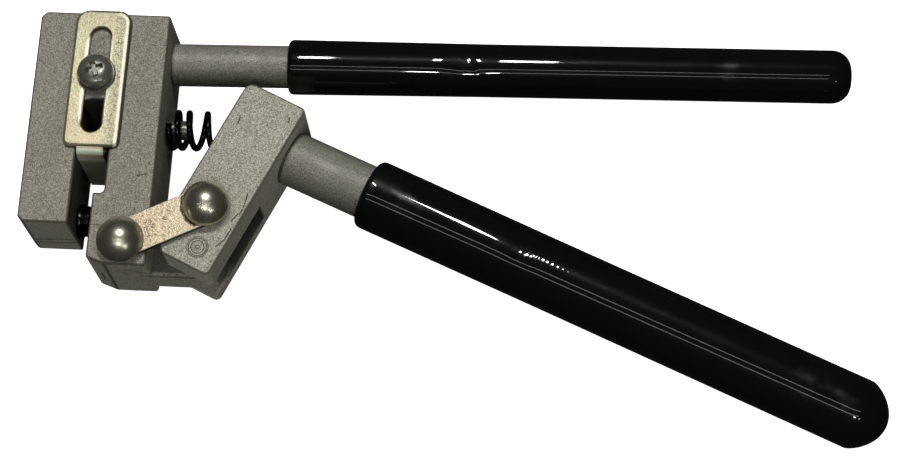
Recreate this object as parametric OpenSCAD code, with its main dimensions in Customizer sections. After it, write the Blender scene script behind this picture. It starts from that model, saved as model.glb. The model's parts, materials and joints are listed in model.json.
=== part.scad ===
// Hand plier that punches one small round hole in card or sheet. Millimetres.
// The frame's origin is where the punch axis leaves the jaw's outer face, at the chip outlet.
// X runs along the punch axis towards the handles, Y towards the jaw's closed end,
// and Z out of the face that carries the depth gauge. The handles stand open, at rest.

/* [Jaw body] */
// Thickness of the jaw body and of the lever block
body_thick = 20; // [16:0.5:26]
// How far the thick front side stands in front of the punch plane
front_z = 12; // [10:0.5:16]
// Width of the die jaw along X
die_jaw_w = 11.7; // [9:0.1:16]
// Width of the sheet throat along X
throat_w = 7.55; // [6.5:0.05:10]
// Width of the punch jaw along X
punch_jaw_w = 11.25; // [10.5:0.05:15]
// Height of the closed end above the punch axis
top_y = 47.5; // [46:0.5:60]
// Height of the throat's closed end above the punch axis
throat_y = 26; // [24:0.5:26.5]
// How far the die jaw reaches below the punch axis
die_jaw_y = 4.5; // [4.3:0.1:4.6]
// How far the punch jaw reaches below the punch axis
punch_jaw_y = 13.9; // [13.9:0.1:15]
// Chamfer on the outer corners of the die jaw
corner_cut = 1.3; // [0.5:0.1:2]

/* [Punch and die] */
// Radius of the punched hole
hole_r = 2; // [1.5:0.1:2.3]
// Clearance between the punch and its guide, on the radius
punch_gap = 0.04; // [0.02:0.01:0.1]
// How far the die stands out of its jaw
die_proud = 3.2; // [2.5:0.1:3.6]
// Gap for the sheet between the die and the punch nose
sheet_gap = 1.8; // [1.2:0.1:2.2]
// Height of the nose above the punch axis
nose_y = 3.1; // [2.9:0.1:3.6]
// Radius of the die's flange
die_flange_r = 4; // [3.8:0.1:4.2]
// Thickness of the slide that carries the punch
slide_thick = 5.4; // [5:0.1:5.6]
// Clearance on each side of the slide in its channel
slide_gap = 0.05; // [0.03:0.01:0.1]

/* [Linkage] */
// How far the slide's cross pin lies behind the nose's face, with the handles open
slide_pin_in = 7.9; // [7.5:0.1:8.5]
// How far the slide's cross pin lies below the punch axis
slide_pin_y = 8.6; // [8.4:0.1:8.9]
// How far the lever's pivot lies outside the jaw body
pivot_out = 11.45; // [11.3:0.05:12.5]
// How far the lever's pivot lies below the punch axis
pivot_y = 9; // [8.8:0.1:9.2]
// Radius of the pivot pin
pivot_r = 2.5; // [2:0.1:2.8]
// Radius of the two link pins
link_pin_r = 2; // [1.8:0.05:2.1]
// Slope of the lever block with the handles open, below X
lever_angle = 25.1; // [24:0.1:26.5]
// Turn of the lever from open to closed
lever_turn = 18; // [15:0.5:20]
// Stroke of the slide from open to closed
stroke = 3.12; // [2.8:0.02:3.2]
// Place of the lever's link pin along the block's width
lever_pin_u = -2.95; // [-3.2:0.05:-2.7]
// Place of the lever's link pin along the block's length
lever_pin_w = 9.4; // [9:0.1:10]
// Width of the link plates
link_w = 8.9; // [8:0.1:10]
// Thickness of the link plates
link_t = 1.5; // [1.2:0.1:2]
// Gap between the link plates and the faces that they cross
link_gap = 0.25; // [0.2:0.05:0.4]
// Clearance of the link on the slide's pin, on the radius
link_slack = 0.25; // [0.2:0.01:0.3]
// Radius of the front caps
cap_r = 5.35; // [5:0.05:5.8]
// Height of the front caps
cap_h = 4.3; // [4:0.1:5]
// Radius of the rear caps
rear_cap_r = 4.4; // [4.2:0.05:5]
// Height of the rear caps
rear_cap_h = 3.4; // [3.4:0.1:4]

/* [Lever block] */
// Distance from the pivot to the block's face on the jaw side
lever_left = 10; // [9:0.1:10.2]
// Distance from the pivot to the block's face on the handle side
lever_right = 5.45; // [5.2:0.05:7]
// How far the block reaches beyond the pivot
lever_low = 4.95; // [4.9:0.05:5.2]
// Distance from the pivot to the block's far end
lever_high = 40.4; // [39.8:0.1:42]
// Width of the fork's slot, between the two ears
fork_w = 7.7; // [7.2:0.1:8.4]
// Distance from the pivot to the end of the fork's slot
fork_high = 17; // [14:0.5:20]

/* [Handles] */
// Radius of the fixed handle's rod
upper_rod_r = 5; // [4:0.1:5.5]
// Height of the fixed handle's axis above the punch axis, at the jaw
upper_rod_y = 39.22; // [38.8:0.02:39.6]
// Slope of the fixed handle above X
upper_tilt = 1.17; // [0:0.01:2]
// Depth of the fixed handle's socket in the jaw
upper_socket = 16; // [12:1:20]
// Bare length of the fixed handle's rod
upper_bare = 27.4; // [20:0.1:40]
// Length of the fixed handle's grip
upper_grip_l = 131.6; // [100:0.1:140]
// Radius of the fixed handle's grip
upper_grip_r = 6.22; // [5.8:0.01:7]
// Radius of the moving handle's rod
lower_rod_r = 6.4; // [6.2:0.05:6.6]
// Slope of the moving handle against the lever block
lower_tilt = 2.2; // [0:0.1:3]
// Place of the moving handle along the block, at its outer face
lower_rod_w = 31.2; // [30.8:0.1:31.4]
// Depth of the moving handle's seat in the block
lower_seat = 6.5; // [6:0.1:8]
// Bare length of the moving handle's rod
lower_bare = 20.1; // [15:0.1:30]
// Length of the moving handle's grip
lower_grip_l = 128.8; // [100:0.1:140]
// Radius of the moving handle's grip
lower_grip_r = 8.1; // [7.6:0.05:9]

/* [Return spring] */
// Diameter of the spring's wire
wire_d = 1.5; // [1.2:0.1:1.6]
// Outer diameter of the spring
spring_od = 9.7; // [9:0.1:10]
// Height of the spring's axis above the punch axis
spring_y = 22.75; // [22.5:0.05:23]
// Pitch of the close turns at each end
end_pitch = 2.05; // [2:0.05:2.2]
// Turn about its axis at which the spring's wire starts
wire_start = 0.25; // [0:0.01:0.95]
// Clearance between the spring and its two seats
spring_gap = 0.15; // [0.1:0.05:0.4]
// Radius of the peg that guides the spring
peg_r = 2.25; // [2:0.05:2.5]
// How far the peg stands out of the jaw
peg_proud = 5.6; // [4:0.1:6.5]

/* [Depth gauge] */
// Width of the gauge plate
gauge_w = 13.2; // [12:0.1:14]
// Thickness of the gauge plate
gauge_t = 1.2; // [1:0.1:1.5]
// How far the gauge plate's centre line lies from the throat's, towards the die jaw
gauge_shift = 0.35; // [0:0.05:0.6]
// Upper edge of the gauge plate above the punch axis
gauge_top = 47.85; // [46:0.05:50]
// Lower edge of the gauge plate above the punch axis
gauge_low = 13.7; // [13.5:0.1:14.5]
// Width of the gauge plate's slot
slot_w = 4.65; // [4.3:0.05:5]
// How far the clamp screw and the slot lie from the throat's centre line
screw_shift = 0.65; // [0:0.05:0.8]
// Height of the clamp screw above the punch axis
screw_y = 31.6; // [31.2:0.1:32]
// Travel of the gauge towards the punch axis
gauge_down = 7.4; // [5:0.1:7.4]
// Travel of the gauge away from the punch axis
gauge_up = 11.6; // [8:0.1:11.6]
// Width of the gauge's bent tab at the plate
tab_neck = 6.1; // [5:0.1:6.5]
// Clearance on each side of the tab in the throat
tab_gap = 0.25; // [0.2:0.05:0.4]
// Radius of the clamp screw's shank
screw_r = 2; // [1.8:0.05:2.1]
// Radius of the clamp screw's head
screw_head_r = 4.05; // [3.8:0.05:4.3]
// Radius of the clamp screw's washer
washer_r = 4.5; // [4.4:0.05:5]

/* [Hidden] */
$fn = 64;

// Radial gap in a pressed seat, and running gap of a pin in its bore
seat_gap = 0.01;
pin_gap = 0.03;
// Length by which a cutter passes the face that it opens
over = 1;

// Planes and faces of the jaw body
back_z = front_z - body_thick;
mid_z = (front_z + back_z) / 2;
throat_x = die_jaw_w;
punch_jaw_x = throat_x + throat_w;
body_x = punch_jaw_x + punch_jaw_w;
cut_x = die_jaw_w + die_proud;
nose_x = cut_x + sheet_gap;
slide_pin_x = nose_x + slide_pin_in;
pivot_x = body_x + pivot_out;
gauge_x = throat_x + throat_w / 2 - gauge_shift;
screw_x = throat_x + throat_w / 2 - screw_shift;
nose_cut_x = 4.25;
nose_cut_y = 1.5;
edge_cut = 0.5;
step_r = 1.1;
throat_arc_r = 8;
throat_arc_a = asin(throat_w / 2 / throat_arc_r);

// Channel of the slide, which breaks out as a short slit on the nose's lower chamfer
channel_z = slide_thick / 2 + slide_gap;
guide_len = 1.95;
channel_x = nose_x + guide_len;
channel_low = punch_jaw_y - 0.6;
channel_high = 3.6;
slide_foot_l = 5.55;
slide_back_x = channel_x + 0.1 + stroke + slide_foot_l;
block_x = slide_back_x + 0.15;
pin_slot_gap = 0.06;

// Pivot block, seated in a slot that closes the channel, with its tongue outside the jaw
block_z = fork_w / 2 - 0.15;
tongue_r = punch_jaw_y - pivot_y;
block_pin_r = 0.75;
block_pin_at = [(block_x + body_x) / 2 + 0.1, -7.4];

// Places of the linkage with the handles open
lever_c = [pivot_x, -pivot_y];
slide_a = [slide_pin_x, -slide_pin_y];
lever_b = lever_c + turned([lever_pin_u, lever_pin_w], -lever_angle);
link_v = lever_b - slide_a;
link_len = norm(link_v);
link_angle = atan2(link_v[1], link_v[0]);

// Heights of what is stacked on the front and the back face
link_front_z = front_z + link_gap;
link_back_z = back_z - link_gap - link_t;
cap_gap = 0.2;
cap_front_z = link_front_z + link_t + cap_gap;
cap_back_z = link_back_z - cap_gap;
cap_wall = 0.5;
cap_rim = 0.9;
plate_t = 0.4;
pin_end = 2.4;
rear_pin_end = 2;

// Spring: a straight run over the peg, then a bend into the lever's bore
wire_r = wire_d / 2;
coil_r = spring_od / 2 - wire_r;
bore_angle = lower_tilt - lever_angle;
seat_u = lever_right - lower_seat * cos(lower_tilt);
seat_w = lower_rod_w - lower_seat * sin(lower_tilt);
seat_c = lever_c + turned([seat_u, seat_w], -lever_angle);
spring_start = [body_x, spring_y];
bend_r = (spring_y - seat_c[1]) / (1 - cos(bore_angle));
bend_len = bend_r * -bore_angle * PI / 180;
straight_len = seat_c[0] - bend_r * sin(-bore_angle) - body_x;
spring_len = straight_len + bend_len;
end_room = spring_gap + wire_r;
coil_len = spring_len - 2 * end_room;
mid_pitch = 5.2;
near_turns = 2;
far_turns = 1;
near_len = near_turns * (end_pitch + mid_pitch) / 2;
far_len = far_turns * (end_pitch + mid_pitch) / 2;
mid_turns = (coil_len - 2 * end_pitch - near_len - far_len) / mid_pitch;
turns = mid_turns + near_turns + far_turns + 2;
rings_per_turn = 8;
wire_sides = 6;
coil_steps = round(turns * rings_per_turn);

// A point turned about the origin
function turned(p, a) = [p[0] * cos(a) - p[1] * sin(a), p[0] * sin(a) + p[1] * cos(a)];

// Points of an arc about c, from angle a0 to a1
function arc(c, r, a0, a1, n = 6) =
    [for (i = [0:n]) c + r * [cos(a0 + (a1 - a0) * i / n), sin(a0 + (a1 - a0) * i / n)]];

// Places what belongs to the lever, drawn about its pivot and along its block
module on_lever() {
    translate([lever_c[0], lever_c[1], 0]) rotate([0, 0, -lever_angle]) children();
}

// A solid of revolution about X, from a profile of [distance along X, radius]
module turned_x(profile) {
    rotate([0, 90, 0]) rotate_extrude()
        polygon([for (p = profile) [p[1], p[0]]]);
}

// A round bar or drill along X
module bar_x(x0, x1, r) {
    translate([x0, 0, 0]) rotate([0, 90, 0]) cylinder(h = x1 - x0, r = r);
}

// A slot cutter with round ends, from a to b in the XY plane
module slot(a, b, r, z0, z1) {
    d = b - a;
    for (p = [a, b]) translate([p[0], p[1], z0]) cylinder(h = z1 - z0, r = r);
    translate([a[0], a[1], z0]) rotate([0, 0, atan2(d[1], d[0])])
        translate([0, -r, 0]) cube([norm(d), 2 * r, z1 - z0]);
}

module body_outline() {
    polygon(concat(
        [[0, top_y - corner_cut], [corner_cut, top_y], [body_x - edge_cut, top_y],
         [body_x, top_y - edge_cut], [body_x, edge_cut - punch_jaw_y],
         [body_x - edge_cut, -punch_jaw_y], [nose_x + nose_cut_x, -punch_jaw_y],
         [nose_x, nose_cut_y - punch_jaw_y], [nose_x, nose_y]],
        arc([punch_jaw_x - step_r, nose_y + step_r], step_r, -90, 0),
        arc([throat_x + throat_w / 2, throat_y - throat_arc_r], throat_arc_r,
            90 - throat_arc_a, 90 + throat_arc_a, 6),
        [[throat_x, -die_jaw_y], [corner_cut, -die_jaw_y], [0, corner_cut - die_jaw_y]]));
}

// The slide's channel, and the wider slot behind it that takes the pivot block
module slide_channel() {
    translate([channel_x, -channel_low, -channel_z])
        cube([body_x - channel_x, channel_low + channel_high, 2 * channel_z]);
    translate([block_x, -punch_jaw_y - over, -block_z - seat_gap])
        cube([body_x - block_x + over, punch_jaw_y + over + channel_high,
              2 * (block_z + seat_gap)]);
}

module jaw_body() {
    color("darkgray") difference() {
        translate([0, 0, back_z]) linear_extrude(body_thick) body_outline();
        // Die seat, punch guide and channel of the slide
        bar_x(-over, die_jaw_w + over, die_shank_r + seat_gap);
        bar_x(nose_x - over, channel_x + over, hole_r + punch_gap);
        slide_channel();
        // Slots of the slide's cross pin, through both cheeks
        slot(slide_a - [stroke, 0], slide_a, link_pin_r + pin_slot_gap,
             back_z - over, front_z + over);
        // Hole of the pin that holds the pivot block
        translate([block_pin_at[0], block_pin_at[1], back_z - over])
            cylinder(h = body_thick + 2 * over, r = block_pin_r + seat_gap);
        // Sockets of the fixed handle and of the spring's peg
        upper_place() bar_x(-upper_socket, over, upper_rod_r + seat_gap);
        translate([body_x, spring_y, mid_z]) bar_x(-peg_depth, over, peg_r + seat_gap);
        // Hole of the clamp screw
        translate([screw_x, screw_y, front_z - screw_depth])
            cylinder(h = screw_depth + over, r = screw_r + punch_gap);
    }
}

// The block that closes the slide's channel and carries the lever's pivot in its tongue
module pivot_block() {
    color("darkgray") difference() {
        union() {
            translate([block_x, -punch_jaw_y, -block_z])
                cube([body_x - block_x, punch_jaw_y + channel_high, 2 * block_z]);
            translate([block_x, -punch_jaw_y, -block_z])
                cube([pivot_x - block_x, 2 * tongue_r, 2 * block_z]);
            translate([pivot_x, -pivot_y, -block_z]) cylinder(h = 2 * block_z, r = tongue_r);
        }
        translate([pivot_x, -pivot_y, -block_z - over])
            cylinder(h = 2 * block_z + 2 * over, r = pivot_r + pin_gap);
        translate([block_pin_at[0], block_pin_at[1], -block_z - over])
            cylinder(h = 2 * block_z + 2 * over, r = block_pin_r + seat_gap);
    }
}

module block_pin() {
    color("silver") translate([block_pin_at[0], block_pin_at[1], back_z])
        cylinder(h = body_thick, r = block_pin_r);
}

// The die: a shank through its jaw, a flange and a boss with the cutting edge
die_shank_r = 3.2;
die_flange_t = 1.4;
die_boss_r = die_flange_r - 0.4;
die_land = 4;
chip_r = hole_r + 0.5;
module die() {
    color([0.1, 0.1, 0.11]) difference() {
        union() {
            bar_x(0, cut_x, die_shank_r);
            bar_x(die_jaw_w, die_jaw_w + die_flange_t, die_flange_r);
            bar_x(die_jaw_w, cut_x, die_boss_r);
        }
        bar_x(cut_x - die_land - over, cut_x + over, hole_r + punch_gap);
        bar_x(-over, cut_x - die_land, chip_r);
    }
}

// Places what lies on the fixed handle's axis, from the jaw's face outwards
module upper_place() {
    translate([body_x, upper_rod_y, mid_z]) rotate([0, 0, upper_tilt]) children();
}

rod_cut = 0.6;
grip_end = 2.6;
grip_inset = 0.3;
// Half of a rod's outline, chamfered at both ends
function rod_profile(x0, x1, r) =
    [[x0, 0], [x0, r - rod_cut], [x0 + rod_cut, r], [x1 - rod_cut, r], [x1, r - rod_cut], [x1, 0]];

// Half of a grip's outline: a rounded mouth, a slight taper and a rounded end
function grip_profile(l, r, mouth_r, lip, nose, bore_r) = concat(
    [[0, bore_r]], arc([lip, mouth_r - lip], lip, 180, 90, 5),
    [[l * 0.35, r]], arc([l - nose, r - nose], nose, 90, 0, 7),
    [[l, 0], [l - grip_end, 0], [l - grip_end, bore_r]]);

module upper_rod() {
    color("gray") upper_place()
        turned_x(rod_profile(-upper_socket + 0.2, upper_bare + upper_grip_l - grip_end - grip_inset,
                             upper_rod_r));
}

upper_mouth_r = upper_grip_r + 0.25;
module upper_grip() {
    color([0.06, 0.06, 0.07]) upper_place() translate([upper_bare, 0, 0])
        turned_x(grip_profile(upper_grip_l, upper_grip_r, upper_mouth_r, 0.9, 3.4,
                              upper_rod_r + seat_gap));
}

peg_depth = 6;
module spring_peg() {
    color("gray") translate([body_x, spring_y, mid_z])
        turned_x([[-peg_depth + 0.1, 0], [-peg_depth + 0.1, peg_r], [peg_proud - 0.7, peg_r],
                  [peg_proud, peg_r - 0.7], [peg_proud, 0]]);
}

// Point and heading of the spring's own axis, at a distance s from the jaw
function axis_turn(s) = s < straight_len ? 0 : -(s - straight_len) / bend_r * 180 / PI;
function axis_point(s) = s < straight_len ? spring_start + [s, 0]
    : spring_start + [straight_len, -bend_r]
      + bend_r * [-sin(axis_turn(s)), cos(axis_turn(s))];

// Distance along the axis after t turns: close end turns, eased into the open ones
function ease(t, over_turns) = end_pitch * t + (mid_pitch - end_pitch) * t * t / 2 / over_turns;
function coil_s(t) = t < 1 ? end_pitch * t
    : t < 1 + near_turns ? end_pitch + ease(t - 1, near_turns)
    : t < turns - 1 - far_turns ? end_pitch + near_len + mid_pitch * (t - 1 - near_turns)
    : t < turns - 1 ? coil_len - end_pitch - ease(turns - 1 - t, far_turns)
    : coil_len - end_pitch * (turns - t);

// Centre of the wire after t turns, and the direction from the axis to it
function coil_out(t) = let (h = axis_turn(end_room + coil_s(t)), a = 90 - 360 * (t + wire_start))
    [-sin(h) * sin(a), cos(h) * sin(a), cos(a)];
function coil_point(t) = let (c = axis_point(end_room + coil_s(t)))
    [c[0], c[1], mid_z] + coil_r * coil_out(t);
function coil_way(t) = let (d = coil_point(t + 0.01) - coil_point(t - 0.01)) d / norm(d);

// Stations along the wire: [centre, outward, heading], with a straight diameter at each end
coil_ts = [for (i = [0:coil_steps]) turns * i / coil_steps];
function end_way(t, side) = let (d = cross([cos(axis_turn(coil_len * t / turns)),
    sin(axis_turn(coil_len * t / turns)), 0], coil_out(t))) side * d / norm(d);
function station(t) = [coil_point(t), coil_out(t), coil_way(t)];
turn_sign = coil_way(1) * end_way(1, 1) > 0 ? 1 : -1;
first_way = turn_sign * end_way(0, 1);
last_way = turn_sign * end_way(turns, 1);
stations = concat(
    [[coil_point(0) - wire_d * first_way, coil_out(0), first_way]],
    [for (t = coil_ts) station(t)],
    [[coil_point(turns) + wire_d * last_way, coil_out(turns), last_way]]);

module wire_tube(st) {
    ring_pts = [for (s = st) let (e1 = s[1], e2 = cross(s[2], e1))
        for (k = [0:wire_sides - 1])
            s[0] + wire_r * (cos(360 * k / wire_sides) * e1 + sin(360 * k / wire_sides) * e2)];
    n = len(st);
    polyhedron(concat(ring_pts, [st[0][0], st[n - 1][0]]), concat(
        [for (i = [0:n - 2]) for (k = [0:wire_sides - 1]) let (q = (k + 1) % wire_sides)
            each [[i * wire_sides + k, (i + 1) * wire_sides + k, (i + 1) * wire_sides + q],
                  [i * wire_sides + k, (i + 1) * wire_sides + q, i * wire_sides + q]]],
        [for (k = [0:wire_sides - 1]) [n * wire_sides, k, (k + 1) % wire_sides]],
        [for (k = [0:wire_sides - 1]) let (b = (n - 1) * wire_sides)
            [n * wire_sides + 1, b + (k + 1) % wire_sides, b + k]]));
}

// Least gap between stretches of the wire that lie more than half a turn apart
half_turn = rings_per_turn / 2;
wire_gap = min([for (i = [0:len(stations) - 1]) for (j = [i + half_turn + 1:1:len(stations) - 1])
    norm(stations[i][0] - stations[j][0])]) - wire_d;
echo(least_gap_of_the_spring_to_itself_mm = wire_gap, turns = turns);

module return_spring() {
    color([0.08, 0.08, 0.09]) wire_tube(stations);
}

module lever_outline() {
    polygon(concat(
        [[-lever_left, -1.6], [3.4 - lever_left, -lever_low]],
        arc([lever_right - 1.4, 1.4 - lever_low], 1.4, -90, 0, 4),
        arc([lever_right - 1.2, lever_high - 1.2], 1.2, 0, 90, 4),
        arc([2.2 - lever_left, lever_high - 2.2], 2.2, 90, 180, 5)));
}

module lever_block() {
    color("darkgray") on_lever() difference() {
        translate([0, 0, back_z]) linear_extrude(body_thick) lever_outline();
        // Fork slot round the jaw's tongue, and the two pin bores
        translate([-lever_left - over, -lever_low - over, -fork_w / 2])
            cube([lever_left + lever_right + 2 * over, fork_high + lever_low + over, fork_w]);
        translate([0, 0, back_z - over])
            cylinder(h = body_thick + 2 * over, r = pivot_r + seat_gap);
        translate([lever_pin_u, lever_pin_w, back_z - over])
            cylinder(h = body_thick + 2 * over, r = link_pin_r + seat_gap);
        // Bore along the moving handle, which also holds the spring's far end
        translate([lever_right, lower_rod_w, mid_z]) rotate([0, 0, lower_tilt])
            bar_x(-lever_left - lever_right - 2 * over, 2 * over, lower_rod_r + seat_gap);
    }
}

// Places what lies on the moving handle's axis, from the block's face outwards
module lower_place() {
    on_lever() translate([lever_right, lower_rod_w, mid_z]) rotate([0, 0, lower_tilt]) children();
}

module lower_rod() {
    color("gray") lower_place()
        turned_x(rod_profile(-lower_seat, lower_bare + lower_grip_l - grip_end - grip_inset,
                             lower_rod_r));
}

lower_mouth_r = lower_grip_r + 0.15;
module lower_grip() {
    color([0.06, 0.06, 0.07]) lower_place() translate([lower_bare, 0, 0])
        turned_x(grip_profile(lower_grip_l, lower_grip_r, lower_mouth_r, 1.1, 5.4,
                              lower_rod_r + seat_gap));
}

// The pivot pin, flush with both ears and slightly dished at each end
dish_r = 1.75;
dish_d = 0.25;
module pivot_pin() {
    color("silver") translate([pivot_x, -pivot_y, 0]) difference() {
        translate([0, 0, back_z]) cylinder(h = body_thick, r = pivot_r);
        translate([0, 0, front_z - dish_d]) cylinder(h = dish_d + over, r = dish_r);
        translate([0, 0, back_z - over]) cylinder(h = dish_d + over, r = dish_r);
    }
}

// A cross pin through both link plates and into both caps
module cross_pin(p) {
    color("silver") translate([p[0], p[1], cap_back_z - rear_pin_end])
        cylinder(h = cap_front_z - cap_back_z + pin_end + rear_pin_end, r = link_pin_r);
}
module lever_pin() { cross_pin(lever_b); }
module slide_pin() { cross_pin(slide_a); }

// Points of a dome of rim radius r and height h, standing at height z
function dome(r, h, z) = let (s = (r * r + h * h) / (2 * h), a = asin(r / s))
    [for (i = [8:-1:0]) [s * sin(a * i / 8), z + h - s + s * cos(a * i / 8)]];

// A domed push-on cap: a thin shell with a sprung plate inside, which grips the pin
module cap(r, h) {
    outer = dome(r, h - cap_rim, cap_rim);
    inner = dome(r - cap_wall, h - cap_rim - cap_wall, cap_rim);
    grip_r = link_pin_r + seat_gap;
    color("lightgray") rotate_extrude() polygon(concat(
        [[grip_r, 0.3], [r - cap_wall, 0.3], [r - cap_wall, 0], [r, 0]],
        outer, [for (i = [8:-1:0]) inner[i]],
        [[r - cap_wall, 0.3 + plate_t], [grip_r, 0.3 + plate_t]]));
}
module at_front(p) { translate([p[0], p[1], cap_front_z]) children(); }
module at_back(p) { translate([p[0], p[1], cap_back_z]) mirror([0, 0, 1]) children(); }

module lever_cap_front() { at_front(lever_b) cap(cap_r, cap_h); }
module lever_cap_rear() { at_back(lever_b) cap(rear_cap_r, rear_cap_h); }
module slide_cap_front() { at_front(slide_a) cap(cap_r, cap_h); }
module slide_cap_rear() { at_back(slide_a) cap(rear_cap_r, rear_cap_h); }

// A link plate with round ends, loose on the slide's pin
module link_plate(z) {
    color("khaki") translate([slide_a[0], slide_a[1], z]) rotate([0, 0, link_angle]) difference() {
        slot([0, 0], [link_len, 0], link_w / 2, 0, link_t);
        translate([0, 0, -over]) cylinder(h = link_t + 2 * over, r = link_pin_r + link_slack);
        translate([link_len, 0, -over]) cylinder(h = link_t + 2 * over, r = link_pin_r + pin_gap);
    }
}
module front_link() { link_plate(link_front_z); }
module rear_link() { link_plate(link_back_z); }

// The slide: a plate with the cross pin below and the punch above
slide_x = channel_x + 0.1 + stroke;
punch_depth = 4.5;
module punch_slide() {
    color("slategray") difference() {
        translate([slide_x, slide_gap - channel_low, -slide_thick / 2])
            cube([slide_foot_l, channel_low + channel_high - 2 * slide_gap, slide_thick]);
        bar_x(slide_x - over, slide_x + punch_depth + 0.1, hole_r + seat_gap);
        translate([slide_a[0], slide_a[1], -slide_thick])
            cylinder(h = 2 * slide_thick, r = link_pin_r + seat_gap);
    }
}

module punch() {
    color("silver") bar_x(nose_x + 0.5, slide_x + punch_depth, hole_r);
}

// Gauge plate: round corners, a slot for the screw and a tab bent down into the throat
tab_out = 1.9;
tab_low = gauge_low - tab_out;
bend_out = 2.1;
tab_end = back_z + 0.3;
tab_flare_z = front_z - 1.2;
gauge_r_top = 2.4;
gauge_r_low = 1;
module gauge_outline() {
    l = gauge_x - gauge_w / 2;
    r = gauge_x + gauge_w / 2;
    polygon(concat(
        arc([r - gauge_r_top, gauge_top - gauge_r_top], gauge_r_top, 0, 90, 6),
        arc([l + gauge_r_top, gauge_top - gauge_r_top], gauge_r_top, 90, 180, 6),
        arc([l + gauge_r_low, gauge_low + gauge_r_low], gauge_r_low, 180, 270, 3),
        arc([r - gauge_r_low, gauge_low + gauge_r_low], gauge_r_low, 270, 360, 3)));
}
module gauge_tab() {
    top = front_z + gauge_t;
    wide = throat_w - 2 * tab_gap;
    neck_x = gauge_x - tab_neck / 2;
    difference() {
        union() {
            translate([neck_x, 0, 0]) rotate([90, 0, 90]) linear_extrude(tab_neck) polygon(concat(
                [[gauge_low + 1.5, top]], arc([tab_low + bend_out, top - bend_out], bend_out, 90, 180),
                [[tab_low, tab_flare_z - 0.5], [tab_low + gauge_t, tab_flare_z - 0.5]],
                arc([tab_low + bend_out, top - bend_out], bend_out - gauge_t, 180, 90),
                [[gauge_low + 1.5, front_z]]));
            translate([throat_x + tab_gap, tab_low, tab_end])
                cube([wide, gauge_t, tab_flare_z - tab_end]);
        }
    }
}
module gauge_plate() {
    color("khaki") difference() {
        union() {
            translate([0, 0, front_z]) linear_extrude(gauge_t) gauge_outline();
            gauge_tab();
        }
        slot([screw_x, screw_y - gauge_up - 0.3], [screw_x, screw_y + gauge_down + 2.1],
             slot_w / 2, front_z - over, front_z + gauge_t + over);
    }
}

washer_t = 0.8;
module gauge_washer() {
    color("silver") translate([screw_x, screw_y, front_z + gauge_t]) difference() {
        cylinder(h = washer_t, r = washer_r);
        translate([0, 0, -over]) cylinder(h = washer_t + 2 * over, r = screw_r + pin_gap);
    }
}

// Pan head screw with a cross recess
screw_depth = 9;
head_h = 2.9;
recess_w = 0.95;
recess_l = 4.2;
recess_d = 1.7;
module gauge_screw() {
    head_z = front_z + gauge_t + washer_t;
    color("silver") translate([screw_x, screw_y, 0]) difference() {
        union() {
            translate([0, 0, front_z - screw_depth + 0.6]) cylinder(
                h = head_z - front_z + screw_depth, r = screw_r);
            translate([0, 0, head_z]) rotate_extrude() polygon(concat(
                [[0, 0], [screw_head_r, 0], [screw_head_r, 0.9]],
                arc([screw_head_r - 1.7, 1.1], 1.7, 10, 75, 5), [[0, head_h]]));
        }
        for (a = [20, 110]) translate([0, 0, head_z + head_h - recess_d]) rotate([0, 0, a])
            translate([-recess_l / 2, -recess_w / 2, 0]) cube([recess_l, recess_w, recess_d + over]);
    }
}

jaw_body();
die();
upper_rod();
upper_grip();
spring_peg();
return_spring();
pivot_block();
block_pin();
lever_block();
lower_rod();
lower_grip();
pivot_pin();
lever_pin();
lever_cap_front();
lever_cap_rear();
front_link();
rear_link();
punch_slide();
punch();
slide_pin();
slide_cap_front();
slide_cap_rear();
gauge_plate();
gauge_washer();
gauge_screw();
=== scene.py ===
"""Looks of a plier-type single hole punch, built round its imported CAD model."""

from __future__ import annotations

import json
import logging
import math
from dataclasses import dataclass, field
from enum import Enum
from typing import Callable, Iterable, Sequence

import bmesh
import bpy
from mathutils import Matrix, Quaternion, Vector, noise

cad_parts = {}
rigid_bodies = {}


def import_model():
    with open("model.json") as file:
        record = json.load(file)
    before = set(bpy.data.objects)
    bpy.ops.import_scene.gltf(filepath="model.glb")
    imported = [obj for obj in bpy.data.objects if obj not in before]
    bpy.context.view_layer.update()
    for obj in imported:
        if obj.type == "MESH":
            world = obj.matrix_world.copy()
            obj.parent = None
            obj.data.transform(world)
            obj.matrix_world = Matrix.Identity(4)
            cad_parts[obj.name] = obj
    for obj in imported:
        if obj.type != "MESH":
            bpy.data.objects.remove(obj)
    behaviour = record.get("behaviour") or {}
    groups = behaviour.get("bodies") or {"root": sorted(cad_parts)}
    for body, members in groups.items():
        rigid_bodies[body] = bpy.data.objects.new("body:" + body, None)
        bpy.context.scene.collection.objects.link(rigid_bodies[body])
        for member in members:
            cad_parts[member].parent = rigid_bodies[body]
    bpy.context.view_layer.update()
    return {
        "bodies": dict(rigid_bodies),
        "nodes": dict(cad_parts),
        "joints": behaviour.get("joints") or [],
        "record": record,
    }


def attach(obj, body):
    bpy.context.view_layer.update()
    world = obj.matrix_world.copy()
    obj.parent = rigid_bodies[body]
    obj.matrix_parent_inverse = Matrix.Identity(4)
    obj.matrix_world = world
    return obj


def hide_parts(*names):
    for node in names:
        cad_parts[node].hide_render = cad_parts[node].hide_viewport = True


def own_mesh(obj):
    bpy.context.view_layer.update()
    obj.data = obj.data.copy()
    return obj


LOG = logging.getLogger("hole_punch")
MM = 0.001
Colour = tuple[float, float, float]
Point2 = tuple[float, float]


# ---------------------------------------------------------------- node trees


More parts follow.
